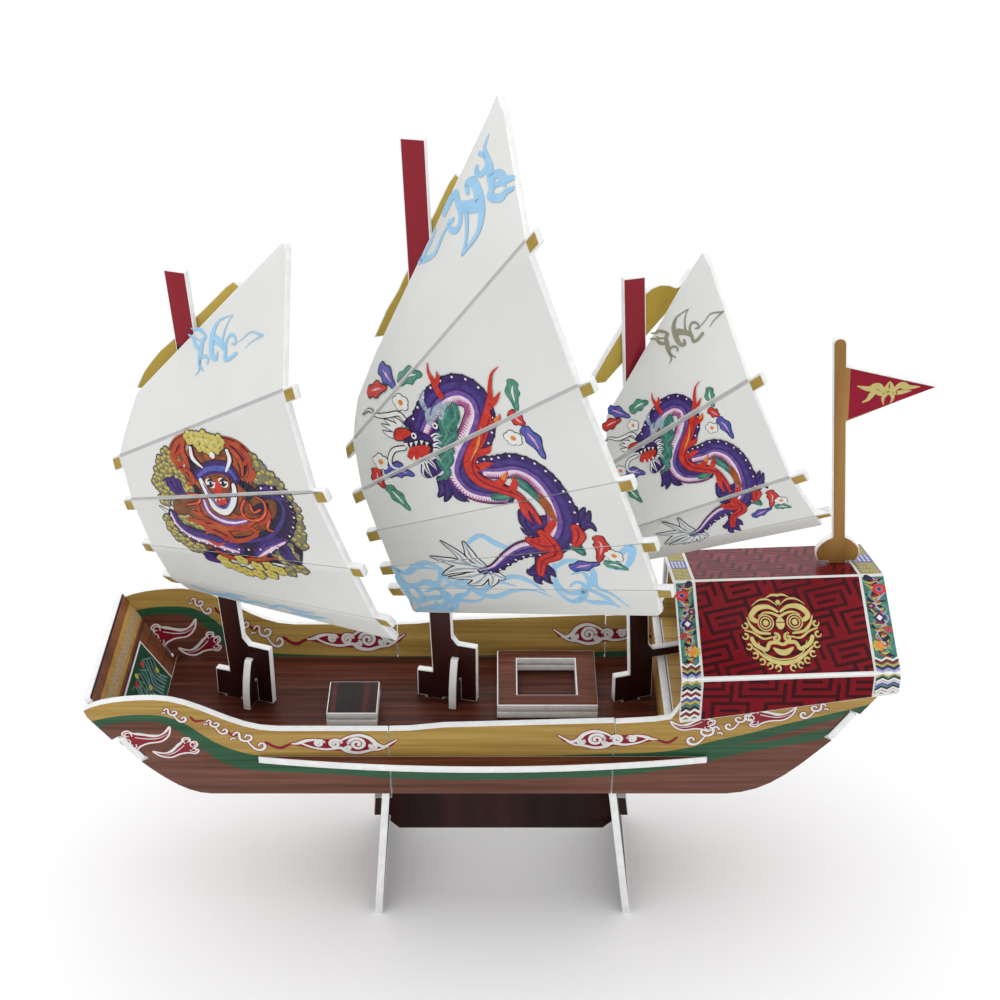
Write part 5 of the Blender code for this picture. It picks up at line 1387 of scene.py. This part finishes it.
def makeRoofPrints():
    row = roofPrint
    slope = math.atan2(row["ridge"] - row["eave"], row["halfWidth"])
    front, rear = row["front"] - row["endMargin"], row["rear"] + row["endMargin"]
    bowEnd, sternEnd = row["panelEnds"]
    bowLine, sternLine = bowEnd + row["whiteLine"], sternEnd - row["whiteLine"]
    foot = row["halfWidth"] / math.cos(slope) - row["margin"]
    low, high = (sternEnd, row["ridgeMargin"]), (bowEnd, foot)
    fret = keyFret(row["fretTurn"], low, high)
    clip = [(low, (-1, 0)), (low, (0, -1)), (high, (1, 0)), (high, (0, 1))]
    strips = [((bowLine, row["margin"]), (front, foot)), ((rear, row["margin"]), (sternLine, foot))]

    def flapFoot(x, above=0.0):
        return row["flapFront"] + (row["flapRear"] - row["flapFront"]) * towardsStern(x) + above

    def flapTop(x):
        return row["eave"] + roofRise(x) - row["margin"]

    panel = [(bowEnd, flapFoot(bowEnd, row["panelFoot"])), (sternEnd, flapFoot(sternEnd, row["panelFoot"])),
             (sternEnd, flapTop(sternEnd)), (bowEnd, flapTop(bowEnd))]
    below = (panel[0][1] - panel[1][1], panel[1][0] - panel[0][0])
    above = (panel[2][1] - panel[3][1], bowEnd - sternEnd)
    flapClip = [(panel[0], (1, 0)), (panel[1], (-1, 0)), (panel[0], below), (panel[3], above)]
    flapFret = keyFret(0.0, (sternEnd, flapFoot(bowEnd)), (bowEnd, flapTop(sternEnd)), row["flapFretShift"])
    flapStrips = sideBySide(*[
        chevronBand([(a, flapTop(a)), (b, flapTop(b)),
                     (b, flapFoot(b, row["stripFoot"])), (a, flapFoot(a, row["stripFoot"]))])
        for a, b in ((front, bowLine), (sternLine, rear))])
    for side, sign in (("port", 1), ("starboard", -1)):
        def slopePlace(x, s, h):
            z = row["ridge"] + roofRise(x) - s * math.sin(slope)
            return Vector((x, sign * s * math.cos(slope), z)) \
                + Vector((0, sign * math.sin(slope), math.cos(slope))) * h + model["shift"]

        def flapPlace(x, z, h):
            return Vector((x, sign * (row["halfWidth"] + h), z)) + model["shift"]

        def lay(name, place, layers, **how):
            layPrint(name, place, layers, "printed_crimson", **how)

        lay(f"{side}RoofPanelPrint", slopePlace, [("roofCrimson", [box(low, high)]), ("inkFret", fret)], clip=clip)
        if side == "port":
            (x, s), (wide, tall) = row["maskPlace"], row["maskScale"]
            mask = maskLayers(lambda points: [(x - a * wide, s - b * tall) for a, b in points])
            lay("roofMaskPrint", slopePlace, mask, base=row["maskLevel"])
            bands = sideBySide(flowerBand(*strips[0], 1), flowerBand(*strips[1], -1))
        else:
            bands = sideBySide(scrollBand(*strips[0]), scrollBand(*strips[1]))
        lay(f"{side}RoofStripPrint", slopePlace, bands)
        lay(f"{side}FlapPanelPrint", flapPlace, [("roofCrimson", [panel]), ("inkFret", flapFret)], clip=flapClip)
        lay(f"{side}FlapStripPrint", flapPlace, flapStrips)
    print("roof prints made")


# the bow transom's inner face: a gold band with a silver fret over a green panel, in millimetres
transom = {
    "angle": 58,                     # degrees
    "middle": (0.1455, 0, 0.095),    # metres
    "low": (-31.5, -16.6), "high": (31.5, 20.4), "side": 33.2, "sideLean": -0.11,
    "wood": (-17, 21), "gold": (7.4, 15.6), "darkLines": ((19.6, 20.6), (5.4, 6.0)),
    "panel": ((-20, -16.6), (20, 4.6)), "border": (-20, -16.2, -20, 4.6, 20, 4.6, 20, -16.2), "borderLine": 0.8,
    "hookStep": 3.0, "hookFoot": 9.4, "hookLine": 0.42,
    "sprays": ((-15, -8), (-9, 0.5), (-2, -7), (4, 0), (10, -6), (15, 0.5), (0, 1.5)),
    "hook": (0, 4.2, 0, 0, 2.2, 0, 2.2, 3.0, 1.1, 3.0, 1.1, 1.3),
}


def makeTransomPrint():
    row = transom
    angle = math.radians(row["angle"])
    rise, facing = Vector((math.cos(angle), 0, math.sin(angle))), Vector((-math.sin(angle), 0, math.cos(angle)))
    face = Vector(row["middle"]) + facing * model["board"] + model["shift"]
    flat = fitTo()

    def place(y, v, h):
        return face + port * y + rise * v + facing * h

    def strip(low, high):
        return flat(box((-36, low), (36, high)))

    limits = [((side * row["side"], 0), (side, row["sideLean"])) for side in (1, -1)]
    limits += [(row["low"], (0, -1)), (row["high"], (0, 1))]
    clip = [(flat([spot])[0], away) for spot, away in limits]
    fret, waves, sprigs, buds = [], [], [], ([], [])

    def thin(points, widths):
        return ribbon(smoothLine(flat(points)), [w * mm for w in widths])

    for k in range(-12, 12):
        hook = [(k * row["hookStep"] + x, row["hookFoot"] + y) for x, y in paired(row["hook"])]
        fret += stroke(flat(hook), row["hookLine"] * mm)
    for k in range(16):
        x = -17 + k * 2.2
        waves += thin([(x, -14), (x + 2.5, -9 + k % 3), (x - 1.5, -4 + k % 4 * 1.4), (x + 2.0, -1.5 + k % 3 * 1.5)],
                      (0.9, 0.7, 0.1))
    for k, (x, y) in enumerate(row["sprays"]):
        buds[k % 2].append(flat(disc(x, y, 1.5, 9, 0.8)))
        sprigs += thin([(x, y), (x + 1.5, y - 3), (x + 3.5, y - 5)], (0.4, 1.1, 0.1))
    layPrint("bowTransomPrint", place, [
        ("hullWood", [strip(*row["wood"])]), ("goldWood", [strip(*row["gold"])]),
        ("inkNight", [strip(*ends) for ends in row["darkLines"]]), ("inkSilver", fret),
        ("inkPine", [flat(box(*row["panel"]))]), ("inkSea", waves), ("inkGreen", sprigs),
        ("inkRed", buds[1]), ("inkYellow", buds[0]),
        ("inkWhite", stroke(flat(paired(row["border"])), row["borderLine"] * mm))], "printed_wood", clip=clip)
    print("transom print made")


# the pennant: crimson beyond a tan strip, with a generic winged cloud in pale gold, in millimetres
pennant = {
    "plane": -0.0175,                # metres
    "middle": (-146.4, 216.6), "slant": 0.1,
    "field": [(-131.3, 226.2), (-163.4, 218.58), (-163.4, 218.42), (-132.4, 204.9)],
    "emblem": [
        ((1.6, 0.2, 4.2, 2.4, 7.0, 1.2, 11.4, 1.0), (1.2, 3.0, 0.3)),
        ((2.6, -0.8, 5.0, -0.6, 8.4, -0.4), (1.6, 1.8, 0.2)),
        ((-1.6, 0.2, -4.2, 2.8, -7.4, 2.0, -12.0, 3.6), (1.2, 3.2, 0.3)),
        ((-2.6, -0.8, -5.4, 0.4, -7.4, -2.4, -9.6, -3.6), (1.6, 2.2, 0.2)),
        ((0, 4.4, 1.0, 1.8, 0, -0.4), (0.2, 1.6, 1.4)), ((0, 4.4, -1.0, 1.8, 0, -0.4), (0.2, 1.6, 1.4)),
        ((0, 0, 1.8, -2.4, 1.0, -5.2), (1.4, 1.4, 0.1)), ((0, 0, -1.8, -2.4, -1.4, -5.4), (1.4, 1.4, 0.1)),
    ],
}


def makePennantPrint():
    def emblemPlace(points):
        x, z = pennant["middle"]
        return [((x - a) * mm, (z + b + a * pennant["slant"]) * mm) for a, b in points]

    emblem = [face for points, widths in pennant["emblem"] for face in band(emblemPlace, paired(points), widths)]
    for name, side in (("port", 1), ("starboard", -1)):
        def place(x, z, h):
            y = pennant["plane"] + h if side > 0 else pennant["plane"] - model["board"] - h
            return Vector((x, y, z)) + model["shift"]

        layPrint(f"{name}PennantPrint", place, [("inkPennant", [fitTo()(pennant["field"])]), ("inkMask", emblem)],
                 "printed_gold")
    print("pennant print made")


makeHull()
makeStern()
makeStand()
makeMasts()
makeHatches()
makeSails()
twoFaced("flagpole", "flagpoleBoard", port, "poleWood")
print("flagpole made")
makeHullPrints()
makeSailPrints()
makeRoofPrints()
makeTransomPrint()
makePennantPrint()


# floor, lights and camera
studio = {
    "floorSize": 6.0,
    "floorColour": (0.93, 0.93, 0.93),
    "floorTones": ((0.92,) * 3, (0.935,) * 3),
    "keyPlace": (0.15, -0.10, 1.6),
    "keyAim": (0, 0, 0.12),
    "keyPower": 10.3,
    "keySize": 2.1,
    "skyStrength": 0.97,
    "cameraPlace": (0, 0.596, 0.538),
    "cameraTilt": 59,                # degrees
    "lens": 66.6,
    "lensShift": 0.003,
}


def makeStudio():
    def floorColour(tree, place):
        return shadeBy(tree, stretchedNoise(tree, place, (1, 1, 1), 3.0), studio["floorTones"], 0.2)

    bpy.ops.object.select_all(action="DESELECT")
    bpy.ops.mesh.primitive_plane_add(size=studio["floorSize"], location=(0, 0, 0))
    floor = bpy.context.active_object
    floor.name = "floor"
    floor.data.materials.append(makeFinish("floorPaper", 0.7, studio["floorColour"], floorColour, 0, 0))

    world = bpy.data.worlds.new("studioSky")
    world.use_nodes = True
    sky = world.node_tree.nodes["Background"]
    sky.inputs["Color"].default_value = (1, 1, 1, 1)
    sky.inputs["Strength"].default_value = studio["skyStrength"]
    bpy.context.scene.world = world

    bpy.ops.object.light_add(type="AREA", location=studio["keyPlace"])
    key = bpy.context.active_object
    key.name = "keyLight"
    key.data.energy = studio["keyPower"]
    key.data.size = studio["keySize"]
    key.rotation_euler = (Vector(studio["keyAim"]) - key.location).to_track_quat("-Z", "Y").to_euler()

    bpy.ops.object.camera_add(location=Vector(studio["cameraPlace"]) + model["shift"],
                              rotation=(math.radians(studio["cameraTilt"]), 0, math.pi))
    camera = bpy.context.active_object
    camera.name = "photoCamera"
    camera.data.lens = studio["lens"]
    camera.data.sensor_width = 36
    camera.data.shift_x = studio["lensShift"]
    bpy.context.scene.camera = camera
    bpy.context.scene.view_settings.view_transform = "Standard"
    print("studio made")


makeStudio()
